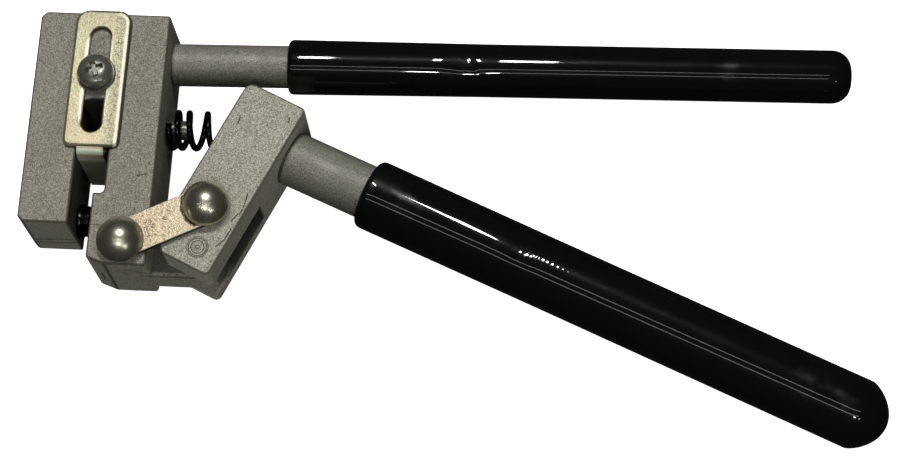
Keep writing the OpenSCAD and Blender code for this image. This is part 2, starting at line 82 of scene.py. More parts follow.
class Graph:
    """A short way to place and link shader nodes in one tree."""

    def __init__(self, tree: bpy.types.NodeTree) -> None:
        """Starts on a tree, which is emptied first.

        Args:
            tree: the material's or group's node tree.
        """
        self.tree = tree
        tree.nodes.clear()

    def add(self, kind: str, inputs: dict | None = None, **settings: object) -> bpy.types.Node:
        """Adds one node.

        Args:
            kind: the node's type, such as "ShaderNodeMix".
            inputs: values or sockets, by socket name or number.
            settings: properties of the node itself.

        Returns:
            The new node.
        """
        node = self.tree.nodes.new(kind)
        for name, value in settings.items():
            setattr(node, name, value)
        for key, value in (inputs or {}).items():
            socket = node.inputs[key]
            if isinstance(value, bpy.types.NodeSocket):
                self.tree.links.new(value, socket)
            else:
                socket.default_value = value
        return node

    def math(self, operation: str, *values: object, clamp: bool = False) -> bpy.types.NodeSocket:
        """Adds a Math node and returns its value."""
        node = self.add("ShaderNodeMath", dict(enumerate(values)), operation=operation, use_clamp=clamp)
        return node.outputs[0]

    def ramp(self, value: object, low: float, high: float, to_low: float = 0.0,
             to_high: float = 1.0) -> bpy.types.NodeSocket:
        """Maps a value smoothly from one range to another.

        Args:
            value: the socket that is mapped.
            low: value that gives to_low.
            high: value that gives to_high.
            to_low: result at low.
            to_high: result at high.

        Returns:
            The mapped value.
        """
        node = self.add("ShaderNodeMapRange", {"Value": value, "From Min": low, "From Max": high,
                                               "To Min": to_low, "To Max": to_high},
                        interpolation_type="SMOOTHSTEP")
        return node.outputs[0]

    def blend(self, share: object, first: object, second: object,
              mode: str = "MIX") -> bpy.types.NodeSocket:
        """Mixes two colours and returns the result."""
        node = self.add("ShaderNodeMix", {"Factor": share, 6: first, 7: second},
                        data_type="RGBA", blend_type=mode)
        return node.outputs[2]

    def noise(self, place: object, scale: float, detail: float = 2.0, rough: float = 0.5,
              dimensions: str = "3D") -> bpy.types.NodeSocket:
        """Adds a noise texture and returns its value."""
        node = self.add("ShaderNodeTexNoise", {"Vector": place, "Scale": scale, "Detail": detail,
                                               "Roughness": rough}, noise_dimensions=dimensions)
        return node.outputs[0]


def rgba(colour: Colour) -> tuple[float, float, float, float]:
    """A colour with full opacity."""
    return (*colour, 1.0)


def new_group(name: str, inputs: dict[str, float | Vector],
              outputs: dict[str, str]) -> tuple[Graph, object, object]:
    """Makes an empty shader node group.

    Args:
        name: the group's name.
        inputs: name and default of each number or vector that goes in; "Place" is always there.
        outputs: name and socket type of each output.

    Returns:
        The group's graph, its input node and its output node.
    """
    tree = bpy.data.node_groups.new(name, "ShaderNodeTree")
    graph = Graph(tree)
    tree.interface.new_socket("Place", in_out="INPUT", socket_type="NodeSocketVector")
    for key, value in inputs.items():
        kind = "NodeSocketVector" if isinstance(value, Vector) else "NodeSocketFloat"
        tree.interface.new_socket(key, in_out="INPUT", socket_type=kind).default_value = value
    for key, kind in outputs.items():
        tree.interface.new_socket(key, in_out="OUTPUT", socket_type=kind)
    return graph, graph.add("NodeGroupInput"), graph.add("NodeGroupOutput")


class Effects:
    """The effects that several finishes share, each built once as a node group."""

    def __init__(self) -> None:
        """Builds every group."""
        self.grain = self._grain()
        self.wear = self._wear()
        self.scratches = self._scratches()
        self.clouds = self._clouds()
        self.stroke = self._stroke()

    @staticmethod
    def _grain() -> bpy.types.NodeTree:
        """Sand grain: round grains of one size, with a finer dust between them."""
        graph, into, out = new_group("Sand grain", {"Scale": 2600.0, "Detail": 0.5},
                                     {"Height": "NodeSocketFloat", "Speck": "NodeSocketFloat"})
        cells = graph.add("ShaderNodeTexVoronoi", {"Vector": into.outputs["Place"],
                                                   "Scale": into.outputs["Scale"], "Randomness": 1.0},
                          feature="SMOOTH_F1")
        fine = graph.add("ShaderNodeTexNoise", {"Vector": into.outputs["Place"], "Detail": 2.0,
                                                "Scale": graph.math("MULTIPLY", into.outputs["Scale"], 1.7)})
        bump = graph.math("SUBTRACT", 1.0, cells.outputs["Distance"], clamp=True)
        height = graph.math("ADD", bump, graph.math("MULTIPLY", fine.outputs[0], into.outputs["Detail"]))
        speck = graph.ramp(fine.outputs[0], 0.38, 0.66)
        graph.tree.links.new(height, out.inputs["Height"])
        graph.tree.links.new(speck, out.inputs["Speck"])
        return graph.tree

    @staticmethod
    def _wear() -> bpy.types.NodeTree:
        """Wear that breaks up along an edge mask."""
        graph, into, out = new_group("Edge wear", {"Edge": 0.0, "Scale": 900.0, "Amount": 0.5},
                                     {"Mask": "NodeSocketFloat"})
        patch = graph.add("ShaderNodeTexNoise", {"Vector": into.outputs["Place"],
                                                 "Scale": into.outputs["Scale"], "Detail": 4.0,
                                                 "Roughness": 0.65})
        limit = graph.math("SUBTRACT", 1.0, into.outputs["Amount"])
        keep = graph.math("SUBTRACT", patch.outputs[0], graph.math("MULTIPLY", limit, 0.75))
        mask = graph.math("MULTIPLY", graph.math("MULTIPLY", keep, 5.0, clamp=True), into.outputs["Edge"],
                          clamp=True)
        graph.tree.links.new(mask, out.inputs["Mask"])
        return graph.tree

    @staticmethod
    def _scratches() -> bpy.types.NodeTree:
        """Long thin scratches along the place's X, in a few scattered patches."""
        graph, into, out = new_group("Scratches", {"Scale": 1200.0, "Length": 0.04, "Amount": 0.4},
                                     {"Mask": "NodeSocketFloat"})
        parts = graph.add("ShaderNodeSeparateXYZ", {0: into.outputs["Place"]})
        along = graph.math("MULTIPLY", parts.outputs[0], into.outputs["Length"])
        place = graph.add("ShaderNodeCombineXYZ", {0: along, 1: parts.outputs[1], 2: parts.outputs[2]})
        lines = graph.add("ShaderNodeTexNoise", {"Vector": place.outputs[0], "Scale": into.outputs["Scale"],
                                                 "Detail": 1.0})
        where = graph.add("ShaderNodeTexNoise", {"Vector": into.outputs["Place"], "Scale": 90.0})
        sharp = graph.ramp(graph.math("ABSOLUTE", graph.math("SUBTRACT", lines.outputs[0], 0.5)), 0.0, 0.012,
                           1.0, 0.0)
        patch = graph.ramp(where.outputs[0], 0.5, 0.62)
        mask = graph.math("MULTIPLY", graph.math("MULTIPLY", sharp, patch), into.outputs["Amount"])
        graph.tree.links.new(mask, out.inputs["Mask"])
        return graph.tree

    @staticmethod
    def _clouds() -> bpy.types.NodeTree:
        """Slow changes of tone, from handling and from uneven plating or paint."""
        graph, into, out = new_group("Handling clouds", {"Scale": 110.0}, {"Value": "NodeSocketFloat"})
        slow = graph.add("ShaderNodeTexNoise", {"Vector": into.outputs["Place"],
                                                "Scale": into.outputs["Scale"], "Detail": 5.0,
                                                "Roughness": 0.6, "Distortion": 0.4})
        graph.tree.links.new(slow.outputs[0], out.inputs["Value"])
        return graph.tree

    @staticmethod
    def _stroke() -> bpy.types.NodeTree:
        """One scratch between two points: distance to the line between them, broken up by noise."""
        graph, into, out = new_group("Stroke", {"From": Vector(), "To": Vector(), "Width": 0.00012},
                                     {"Mask": "NodeSocketFloat", "Distance": "NodeSocketFloat"})

        def vector(operation: str, first: object, second: object) -> bpy.types.Node:
            """Adds a Vector Math node."""
            return graph.add("ShaderNodeVectorMath", {0: first, 1: second}, operation=operation)

        from_start = vector("SUBTRACT", into.outputs["Place"], into.outputs["From"]).outputs[0]
        whole = vector("SUBTRACT", into.outputs["To"], into.outputs["From"]).outputs[0]
        share = graph.math("DIVIDE", vector("DOT_PRODUCT", from_start, whole).outputs["Value"],
                           vector("DOT_PRODUCT", whole, whole).outputs["Value"], clamp=True)
        along = graph.add("ShaderNodeVectorMath", {0: whole, "Scale": share}, operation="SCALE").outputs[0]
        away = vector("SUBTRACT", from_start, along).outputs[0]
        length = graph.add("ShaderNodeVectorMath", {0: away}, operation="LENGTH").outputs["Value"]
        wander = graph.noise(into.outputs["Place"], 2200.0, 3.0, 0.6)
        broken = graph.ramp(wander, 0.30, 0.42)
        near = graph.ramp(graph.math("DIVIDE", length, into.outputs["Width"]),
                          0.5, graph.math("ADD", 0.6, wander), 1.0, 0.0)
        graph.tree.links.new(graph.math("MULTIPLY", near, broken), out.inputs["Mask"])
        graph.tree.links.new(length, out.inputs["Distance"])
        return graph.tree


class Finish:
    """A material under construction: its graph, its place on the piece and the shared effects."""

    def __init__(self, name: str, effects: Effects) -> None:
        """Starts a material with Object coordinates and one Principled shader.

        Args:
            name: the material's name.
            effects: the shared node groups.
        """
        self.material = bpy.data.materials.new(name)
        self.material.use_nodes = True
        self.graph = Graph(self.material.node_tree)
        self.effects = effects
        self.place = self.graph.add("ShaderNodeTexCoord").outputs["Object"]
        self.shader = self.graph.add("ShaderNodeBsdfPrincipled")
        out = self.graph.add("ShaderNodeOutputMaterial")
        self.graph.tree.links.new(self.shader.outputs[0], out.inputs[0])

    def group(self, tree: bpy.types.NodeTree, **inputs: object) -> bpy.types.Node:
        """Places a shared effect at the piece's own coordinates."""
        return self.graph.add("ShaderNodeGroup", {"Place": self.place, **inputs}, node_tree=tree)

    def edge(self) -> bpy.types.NodeSocket:
        """The mask of rounded edges that the pieces carry."""
        return self.graph.add("ShaderNodeAttribute", attribute_name="edge").outputs["Fac"]

    def side(self) -> bpy.types.NodeSocket:
        """The mask of a plate's outline faces, or of the painted shade on a bar."""
        return self.graph.add("ShaderNodeAttribute", attribute_name="side").outputs["Fac"]

    def set(self, **values: object) -> None:
        """Sets or links inputs of the Principled shader, named with underscores for spaces."""
        for key, value in values.items():
            socket = self.shader.inputs[key.replace("_", " ")]
            if isinstance(value, bpy.types.NodeSocket):
                self.graph.tree.links.new(value, socket)
            else:
                socket.default_value = value

    def strokes(self, lines: Sequence[tuple[float, ...]], width: float = 0.13) -> object:
        """The mask of several scratches, or of a painted shadow drawn as strokes.

        Args:
            lines: six numbers each, the two ends in millimetres.
            width: half of each scratch's width, in millimetres.

        Returns:
            The mask, or 0 where there are no scratches.
        """
        mask: object = 0.0
        for line in lines:
            one = self.group(self.effects.stroke, From=Vector(line[:3]) * MM, To=Vector(line[3:]) * MM,
                             Width=width * MM)
            mask = self.graph.math("MAXIMUM", one.outputs["Mask"], mask)
        return mask

    def bump(self, height: object, distance: float, strength: float = 1.0,
             normal: object | None = None) -> bpy.types.NodeSocket:
        """Turns a height into a normal.

        Args:
            height: value between about 0 and 1.
            distance: depth in metres of a height of 1.
            strength: share of the effect.
            normal: normal to build on, or None for the surface's own.

        Returns:
            The bumped normal.
        """
        inputs = {"Height": height, "Distance": distance, "Strength": strength}
        if normal is not None:
            inputs["Normal"] = normal
        return self.graph.add("ShaderNodeBump", inputs).outputs[0]


@dataclass(frozen=True)
class SandPaint:
    """Sand-textured warm grey paint of the jaw body and the lever block.

    It carries painted shade inside a box given by its two ends along X, its two ends along Y and its top,
    such as the throat, and inside the fork's slot, given by a point, a turn from Y, a length and half a width.
    """

    name: str
    tone: Colour = (0.295, 0.286, 0.228)
    spread: float = 0.46
    grain_size: float = 4700.0
    grain_depth: float = 0.00008
    edge_shade: float = 0.9
    scratches: tuple[tuple[float, ...], ...] = ()
    faint: tuple[tuple[float, ...], ...] = ()
    grooves: tuple[tuple[float, ...], ...] = ()
    throat: tuple[float, ...] = ()
    # colour of the painted shade inside that box
    throat_shade_tone: Colour = (0.010, 0.010, 0.009)
    slot: tuple[float, ...] = ()

    def _toned(self, factor: float) -> tuple[float, float, float, float]:
        """The paint's tone, made paler or darker."""
        return rgba(tuple(c * factor for c in self.tone))

    def make(self, effects: Effects) -> bpy.types.Material:
        """Builds the material."""
        f = Finish(self.name, effects)
        g = f.graph
        clouds = f.group(effects.clouds, Scale=85.0)
        speck = g.ramp(g.noise(f.place, self.grain_size, 1.5, 0.6), 0.36, 0.64)
        grains = g.blend(speck, self._toned(1 - self.spread), self._toned(1 + self.spread * 1.15))
        dull = g.blend(g.ramp(clouds.outputs[0], 0.35, 0.65, 0.0, 0.14), grains, self._toned(0.5))
        glints = g.noise(f.place, 3900.0, 1.0, 0.5)
        lit = g.blend(g.ramp(glints, 0.66, 0.76, 0.0, 0.8), dull, self._toned(2.4))
        pits = g.noise(f.place, 1450.0, 2.0, 0.6)
        pitted = g.blend(g.ramp(pits, 0.65, 0.74, 0.0, 0.75), lit, rgba((0.05, 0.048, 0.040)))
        shaded = g.blend(g.math("MULTIPLY", f.edge(), self.edge_shade), pitted, self._toned(0.25))
        # painted shade: the walls inside the box go dark where shade falls
        if self.throat:
            x0, x1, y0, y1, top = (v * MM for v in self.throat)
            x, y, z = g.add("ShaderNodeSeparateXYZ", {0: f.place}).outputs
            inside = g.math("MULTIPLY", g.ramp(x, x0 - 0.1 * MM, x0), g.ramp(x, x1, x1 + 0.1 * MM, 1.0, 0.0))
            inside = g.math("MULTIPLY", inside, g.ramp(y, y0, y0 + 0.3 * MM))
            inside = g.math("MULTIPLY", inside, g.ramp(y, y1, y1 + 0.2 * MM, 1.0, 0.0))
            inside = g.math("MULTIPLY", inside, g.ramp(z, top - 0.5 * MM, top, 0.8, 0.0))
            shaded = g.blend(inside, shaded, rgba(self.throat_shade_tone))
        # painted shade: the fork's slot goes dark inside, more so away from the pivot
        if self.slot:
            x0, y0, turn, long, half = self.slot
            from_pivot = g.add("ShaderNodeVectorMath", {0: f.place, 1: Vector((x0, y0, 0)) * MM},
                               operation="SUBTRACT").outputs[0]
            way = Vector((math.sin(math.radians(turn)), math.cos(math.radians(turn)), 0))
            along = g.add("ShaderNodeVectorMath", {0: from_pivot, 1: way}, operation="DOT_PRODUCT").outputs[1]
            level = g.math("ABSOLUTE", g.add("ShaderNodeSeparateXYZ", {0: f.place}).outputs[2])
            inside = g.math("MULTIPLY", g.ramp(along, (long + 0.02) * MM, (long + 0.1) * MM, 0.9, 0.0),
                            g.ramp(level, (half + 0.02) * MM, (half + 0.08) * MM, 1.0, 0.0))
            inside = g.math("MULTIPLY", inside, g.ramp(along, -3.0 * MM, 5.0 * MM, 0.3, 1.0))
            shaded = g.blend(inside, shaded, rgba((0.010, 0.010, 0.009)))
        marks = g.math("MAXIMUM", g.math("MULTIPLY", f.strokes(self.scratches, 0.17), 0.95),
                       g.math("MULTIPLY", f.strokes(self.faint, 0.15), 0.6))
        marks = g.math("MAXIMUM", marks, g.math("MULTIPLY", f.strokes(self.grooves, 0.42), 0.75))
        marked = g.blend(marks, shaded, rgba((0.030, 0.029, 0.026)))
        height = g.math("SUBTRACT", speck, g.math("MULTIPLY", marks, 0.6))
        f.set(Base_Color=marked, Metallic=0.15, Roughness=g.ramp(speck, 0.0, 1.0, 0.62, 0.46),
              Specular_IOR_Level=0.5, Normal=f.bump(height, self.grain_depth, 0.6))
        return f.material


@dataclass(frozen=True)
class BarPaint:
    """Smooth satin grey paint of the two handle bars, with painted shade where the piece's side mask says so."""

    name: str = "satin_grey_bar"
    tone: Colour = (0.165, 0.162, 0.130)
    pale: Colour = (0.42, 0.412, 0.335)

    def make(self, effects: Effects) -> bpy.types.Material:
        """Builds the material."""
        f = Finish(self.name, effects)
        g = f.graph
        grain = f.group(effects.grain, Scale=2600.0)
        clouds = f.group(effects.clouds, Scale=160.0)
        base = g.blend(grain.outputs["Speck"], rgba(self.tone), rgba(self.pale))
        toned = g.blend(g.ramp(clouds.outputs[0], 0.3, 0.7, 0.0, 0.25), base, rgba((0.12, 0.12, 0.10)))
        pits = g.noise(f.place, 1500.0, 2.0, 0.6)
        pitted = g.blend(g.ramp(pits, 0.66, 0.74, 0.0, 0.5), toned, rgba((0.05, 0.05, 0.045)))
        # painted shade: the side mask darkens the bar's underside and top, and rings it where it enters its socket
        shaded_bar = g.blend(f.side(), pitted, rgba((0.022, 0.021, 0.018)))
        f.set(Base_Color=shaded_bar, Metallic=0.2, Roughness=g.ramp(clouds.outputs[0], 0.3, 0.7, 0.42, 0.54),
              Normal=f.bump(grain.outputs["Height"], 0.00004, 0.4))
        return f.material


@dataclass(frozen=True)
class DippedVinyl:
    """Glossy black vinyl of the grips: a thin wet-looking skin over a duller body."""

    name: str = "dipped_black_vinyl"
    tone: Colour = (0.0035, 0.004, 0.004)

    def make(self, effects: Effects) -> bpy.types.Material:
        """Builds the material."""
        f = Finish(self.name, effects)
        g = f.graph
        clouds = f.group(effects.clouds, Scale=60.0)
        wave = g.noise(f.place, 55.0, 1.0, 0.4)
        ripple = g.noise(f.place, 420.0, 2.0, 0.5)
        height = g.math("ADD", wave, g.math("MULTIPLY", ripple, 0.06))
        dust = g.noise(f.place, 5200.0, 2.0, 0.6)
        tone = g.blend(g.ramp(dust, 0.68, 0.80, 0.0, 0.25), rgba(self.tone), rgba((0.05, 0.05, 0.048)))
        smear = g.ramp(g.noise(f.place, 38.0, 4.0, 0.6), 0.54, 0.66, 0.03, 0.35)
        f.set(Base_Color=tone, Roughness=g.ramp(clouds.outputs[0], 0.35, 0.7, 0.24, 0.34),
              Specular_IOR_Level=smear, Coat_Weight=0.6, Coat_Roughness=0.03,
              Normal=f.bump(height, 0.0006, 0.5))
        return f.material


@dataclass(frozen=True)
class YellowZinc:
    """Pale yellow zinc plating of the links and the depth gauge.

    The plate's slot, where there is one, is given by the two ends of its middle line; its rim carries a painted
    highlight.
    The rounded edges, the outline faces and the gauge's bent tab carry painted light and shade too.
    """

    name: str
    cream: Colour = (0.49, 0.42, 0.235)
    green: Colour = (0.40, 0.41, 0.235)
    pink: Colour = (0.53, 0.38, 0.25)
    stain: float = 0.5
    # painted light on the rounded edges: painted shade on the gauge, a painted highlight on the links
    rim: Colour = (0.36, 0.36, 0.24)
    slot: tuple[float, ...] = ()
    # distance in millimetres from the slot's middle line at which its painted highlight starts
    slot_rim: float = 3.0
    side_shade: float = 0.97
    shade_from: float = 1.0
    # heights in metres over which the tab's painted shade fades out upwards
    bend: tuple[float, float] = (0.0, 0.0)
    smudge: tuple[float, ...] = ()
    marks: tuple[tuple[float, ...], ...] = ()
    # painted shadow: a dark crescent drawn as strokes round the lever's cap
    ring: tuple[tuple[float, ...], ...] = ()

    def make(self, effects: Effects) -> bpy.types.Material:
        """Builds the material."""
        f = Finish(self.name, effects)
        g = f.graph
        grain = f.group(effects.grain, Scale=3000.0)
        clouds = f.group(effects.clouds, Scale=170.0)
        broad = g.noise(f.place, 150.0, 3.0, 0.6)
        cream = g.blend(g.ramp(clouds.outputs[0], 0.40, 0.60), rgba(self.cream), rgba(self.green))
        pink = g.blend(g.ramp(broad, 0.48, 0.62, 0.0, 0.6), cream, rgba(self.pink))
        specks = g.noise(f.place, 2300.0, 3.0, 0.7)
        parts = g.add("ShaderNodeSeparateXYZ", {0: f.place})
        x = parts.outputs[0]
        # the gauge gets darker, with more dark pits, towards its right end
        shade = g.ramp(x, self.shade_from, self.shade_from + 0.0035)
        amount = g.math("ADD", self.stain, g.math("MULTIPLY", shade, 0.5))
        brown = g.blend(g.math("MULTIPLY", g.ramp(specks, 0.52, 0.64), amount), pink, rgba((0.13, 0.09, 0.05)))
        darkened = g.blend(g.math("MULTIPLY", shade, 0.52), brown, rgba((0.13, 0.11, 0.065)))
        pits = g.ramp(g.noise(f.place, 1500.0, 3.0, 0.7), 0.51, 0.58)
        darkened = g.blend(g.math("MULTIPLY", g.math("MULTIPLY", shade, pits), 0.88), darkened,
                         rgba((0.05, 0.038, 0.02)))
        # painted shade: the gauge darkens towards its upper end
        if self.slot:
            darkened = g.blend(g.ramp(parts.outputs[1], 0.038, 0.048, 0.0, 0.40), darkened, rgba((0.17, 0.16, 0.11)))
        glint = g.blend(g.math("MULTIPLY", grain.outputs["Speck"], 0.45), darkened, rgba((0.92, 0.86, 0.62)))
        # painted light on the rounded edges, stronger towards the right
        rim = g.math("MULTIPLY", f.edge(), g.ramp(x, 0.0095, 0.0205, 0.7, 0.97))
        edged = g.blend(rim, glint, rgba(self.rim))
        if self.smudge:
            patch = g.math("MULTIPLY", f.strokes([self.smudge], 1.5), g.ramp(specks, 0.44, 0.56))
            edged = g.blend(g.math("MULTIPLY", patch, 0.7), edged, rgba((0.12, 0.075, 0.05)))
        edged = g.blend(g.math("MULTIPLY", f.strokes(self.marks, 0.16), 0.85), edged, rgba((0.04, 0.03, 0.02)))
        # painted shadow crescent round the lever's cap
        edged = g.blend(f.strokes(self.ring, 0.45), edged, rgba((0.012, 0.011, 0.009)))
        # painted light on the gauge's bent tab: a painted highlight along the bend, paler painted light on the top
        # of the tab's front face and a painted highlight streak below it, then painted shade down the tab and a
        # dark painted corner at its right where only shade falls
        if self.bend[0]:
            strip = g.math("MULTIPLY", g.ramp(parts.outputs[1], 0.0130, 0.0134, 1.0, 0.0),
                           g.ramp(parts.outputs[2], 0.0120, 0.0124))
            edged = g.blend(strip, edged, rgba((0.78, 0.86, 0.68)))
            front = g.ramp(parts.outputs[1], 0.0124, 0.0128, 1.0, 0.0)
            under = g.math("MULTIPLY", front, g.ramp(parts.outputs[2], 0.0106, 0.0119, 0.55, 0.0))
            edged = g.blend(under, edged, rgba((0.80, 0.84, 0.66)))
            streak = g.math("MULTIPLY", g.ramp(parts.outputs[2], 0.0090, 0.0096),
                            g.ramp(parts.outputs[2], 0.0096, 0.0102, 1.0, 0.0))
            edged = g.blend(g.math("MULTIPLY", front, streak), edged, rgba((0.95, 0.95, 0.82)))
            low = g.math("MULTIPLY", g.ramp(parts.outputs[2], self.bend[0], self.bend[1], 1.0, 0.0),
                         g.ramp(x, 0.0181, 0.0183, 0.45, 1.0))
            corner = g.math("MULTIPLY", g.ramp(x, 0.0181, 0.0182),
                            g.ramp(parts.outputs[2], 0.01195, 0.0120, 1.0, 0.0))
            edged = g.blend(g.math("MAXIMUM", low, corner), edged, rgba((0.02, 0.02, 0.017)))
        # painted highlight along the slot's rim and round the plate's top right corner
        if self.slot:
            line = f.group(effects.stroke, From=Vector(self.slot[:3]) * MM, To=Vector(self.slot[3:]) * MM)
            bright = g.math("MULTIPLY", g.ramp(line.outputs["Distance"], self.slot_rim * MM,
                                               (self.slot_rim + 0.6) * MM, 0.7, 0.0),
                            g.ramp(x, 0.0140, 0.0164, 1.0, 0.35))
            around = g.add("ShaderNodeVectorMath", {0: f.place, 1: Vector((18.525, 44.65, 0.0)) * MM},
                           operation="SUBTRACT").outputs[0]
            around = g.add("ShaderNodeVectorMath", {0: around, 1: Vector((0.0, 0.0, -1.0))},
                           operation="MAXIMUM").outputs[0]
            around = g.add("ShaderNodeVectorMath", {0: around, 1: Vector((1.0, 1.0, 0.0))},
                           operation="MULTIPLY").outputs[0]
            reach = g.add("ShaderNodeVectorMath", {0: around}, operation="LENGTH").outputs["Value"]
            band = g.math("MULTIPLY", g.ramp(reach, 0.0016, 0.0022), g.ramp(reach, 0.0024, 0.0029, 0.62, 0.0))
            bright = g.math("MAXIMUM", bright, g.math("MULTIPLY", band, g.ramp(x, 0.0180, 0.0200)))
            edged = g.blend(bright, edged, rgba((0.95, 0.91, 0.74)))
        edged = g.blend(g.math("MULTIPLY", f.side(), self.side_shade), edged, rgba((0.014, 0.012, 0.009)))
        f.set(Base_Color=edged, Metallic=0.45, Roughness=g.ramp(specks, 0.35, 0.7, 0.30, 0.46),
              Normal=f.bump(grain.outputs["Height"], 0.00007, 0.6))
        return f.material


@dataclass(frozen=True)
class PlainSteel:
    """Steel finishes that differ by tone, sheen and grain: caps, screw, pins, die, spring."""

    name: str
    tone: Colour
    dark: Colour
    rough: tuple[float, float] = (0.25, 0.4)
    metallic: float = 1.0
    grain_scale: float = 2600.0
    grain_depth: float = 0.00002
    wear: Colour = (0.7, 0.7, 0.68)
    wear_amount: float = 0.4

    def make(self, effects: Effects) -> bpy.types.Material:
        """Builds the material."""
        f = Finish(self.name, effects)
        g = f.graph
        grain = f.group(effects.grain, Scale=self.grain_scale)
        clouds = f.group(effects.clouds, Scale=260.0)
        base = g.blend(g.ramp(clouds.outputs[0], 0.38, 0.66), rgba(self.tone), rgba(self.dark))
        scratch = f.group(effects.scratches, Scale=1500.0, Amount=0.35)
        marked = g.blend(scratch.outputs[0], base, rgba(self.wear))
        worn = f.group(effects.wear, Edge=f.edge(), Scale=1500.0, Amount=self.wear_amount)
        edged = g.blend(worn.outputs[0], marked, rgba(self.wear))
        f.set(Base_Color=edged, Metallic=self.metallic,
              Roughness=g.ramp(clouds.outputs[0], 0.3, 0.7, *self.rough),
              Normal=f.bump(grain.outputs["Height"], self.grain_depth, 0.5))
        return f.material


class Finishes:
    """Every finish of the punch, made once."""

    def __init__(self) -> None:
        """Builds the groups and the materials."""
        effects = Effects()
        # the jaw's paint: painted shade in its throat
        self.paint = SandPaint("sand_grey_paint", throat=(11.7, 19.25, -4.4, 26.0, 12.0), scratches=(
            (26.5, 7.6, 12.0, 28.6, 8.0, 12.0), (28.9, 10.7, 12.0, 29.2, 10.2, 12.0),
            (23.4, -13.9, 7.7, 28.6, -13.9, 7.3), (24.1, -13.9, 5.2, 29.6, -13.9, 6.7)), grooves=(
            (0.6, -4.5, -0.9, 11.6, -4.5, -0.2), (0.6, -4.5, -2.9, 11.6, -4.5, -2.3)), faint=(
            (16.9, -4.6, 12.0, 20.2, -4.9, 12.0),)).make(effects)
        # the lever's paint: painted shade in its fork slot
        self.lever_paint = SandPaint("sand_grey_paint_lever", (0.415, 0.404, 0.328), slot=(
            41.95, -9.0, 25.1, 17.0, 3.85), scratches=(
            (48.9, 22.8, 12.0, 48.5, 21.3, 12.0), (60.3, 23.0, 12.0, 60.1, 21.8, 12.0),
            (52.3, 4.4, 12.0, 52.0, 2.7, 12.0), (52.0, 2.7, 12.0, 51.3, 0.2, 12.0),
            (51.3, 0.2, 12.0, 50.8, -0.8, 12.0), (50.4, -0.8, 12.0, 49.0, -2.5, 12.0),
            (49.2, -4.4, 12.0, 47.8, -7.1, 12.0), (47.8, -7.1, 12.0, 46.1, -8.7, 12.0)), faint=(
            (44.0, 7.7, 12.0, 44.5, 6.9, 12.0), (58.0, 13.3, 12.0, 58.6, 13.9, 12.0),
            (61.5, 23.3, 12.0, 61.4, 22.6, 12.0))).make(effects)
        # the tongue's paint: painted shadow of the link and the lever on its recessed face, beside the jaw
        self.tongue_paint = SandPaint("sand_grey_paint_tongue", throat=(30.4, 60.0, -12.9, 8.0, 12.0),
                                      throat_shade_tone=(0.085, 0.083, 0.068)).make(effects)
        self.bar = BarPaint().make(effects)
        self.vinyl = DippedVinyl().make(effects)
        # the gauge's dark rim is painted shade on its rounded edges
        self.gauge = YellowZinc("yellow_zinc_gauge", slot=(14.825, 22.0, 13.2, 14.825, 38.8, 13.2),
                                rim=(0.085, 0.085, 0.045), shade_from=0.0168, side_shade=0.88,
                                # bend: the heights of the tab's painted shade
                                bend=(0.0076, 0.0090)).make(effects)
        # the links' pale rim is a painted highlight on their rounded edges
        self.link = YellowZinc("yellow_zinc_link", cream=(0.38, 0.29, 0.17), green=(0.34, 0.275, 0.17),
                               pink=(0.40, 0.255, 0.17), stain=0.7, rim=(0.62, 0.56, 0.44), smudge=(
                                   30.6, -4.6, 13.75, 31.4, -6.8, 13.75), marks=(
                                   (33.65, -3.2, 13.75, 34.6, -3.4, 13.75), (33.8, -2.7, 13.75, 34.3, -3.0, 13.75),
                                   (34.5, -1.0, 13.75, 35.0, -1.3, 13.75), (33.3, -1.6, 13.75, 33.5, -1.9, 13.75)),
                               # ring: the painted shadow crescent round the lever's cap
                               ring=((37.72, 2.25, 13.75, 37.72, -0.73, 13.75),
                                     (37.72, -0.73, 13.75, 39.2, -3.31, 13.75),
                                     (39.2, -3.31, 13.75, 41.0, -4.5, 13.75))).make(effects)
        self.cap = PlainSteel("satin_cap_steel", (0.76, 0.74, 0.57), (0.62, 0.60, 0.46),
                              rough=(0.25, 0.31), metallic=0.96).make(effects)
        # a pale copy of the zinc: painted highlight on the cross recess's walls
        self.recess = PlainSteel("recess_painted_highlight", (0.85, 0.82, 0.66), (0.60, 0.58, 0.46), metallic=0.6,
                                 rough=(0.16, 0.3), grain_depth=0.00006).make(effects)
        self.bright = PlainSteel("ground_steel", (0.55, 0.55, 0.53), (0.40, 0.40, 0.38)).make(effects)
        self.zinc = PlainSteel("grey_zinc", (0.22, 0.225, 0.18), (0.15, 0.155, 0.125), metallic=0.65,
                               rough=(0.22, 0.34), grain_depth=0.00003).make(effects)
        self.oxide = PlainSteel("black_oxide", (0.035, 0.035, 0.037), (0.015, 0.015, 0.016),
                                rough=(0.14, 0.26), wear=(0.10, 0.10, 0.10), wear_amount=0.2).make(effects)
        self.spring = PlainSteel("black_spring_wire", (0.02, 0.02, 0.022), (0.010, 0.010, 0.010),
                                 rough=(0.14, 0.24), wear=(0.10, 0.10, 0.10)).make(effects)


# ---------------------------------------------------------------- mesh tools


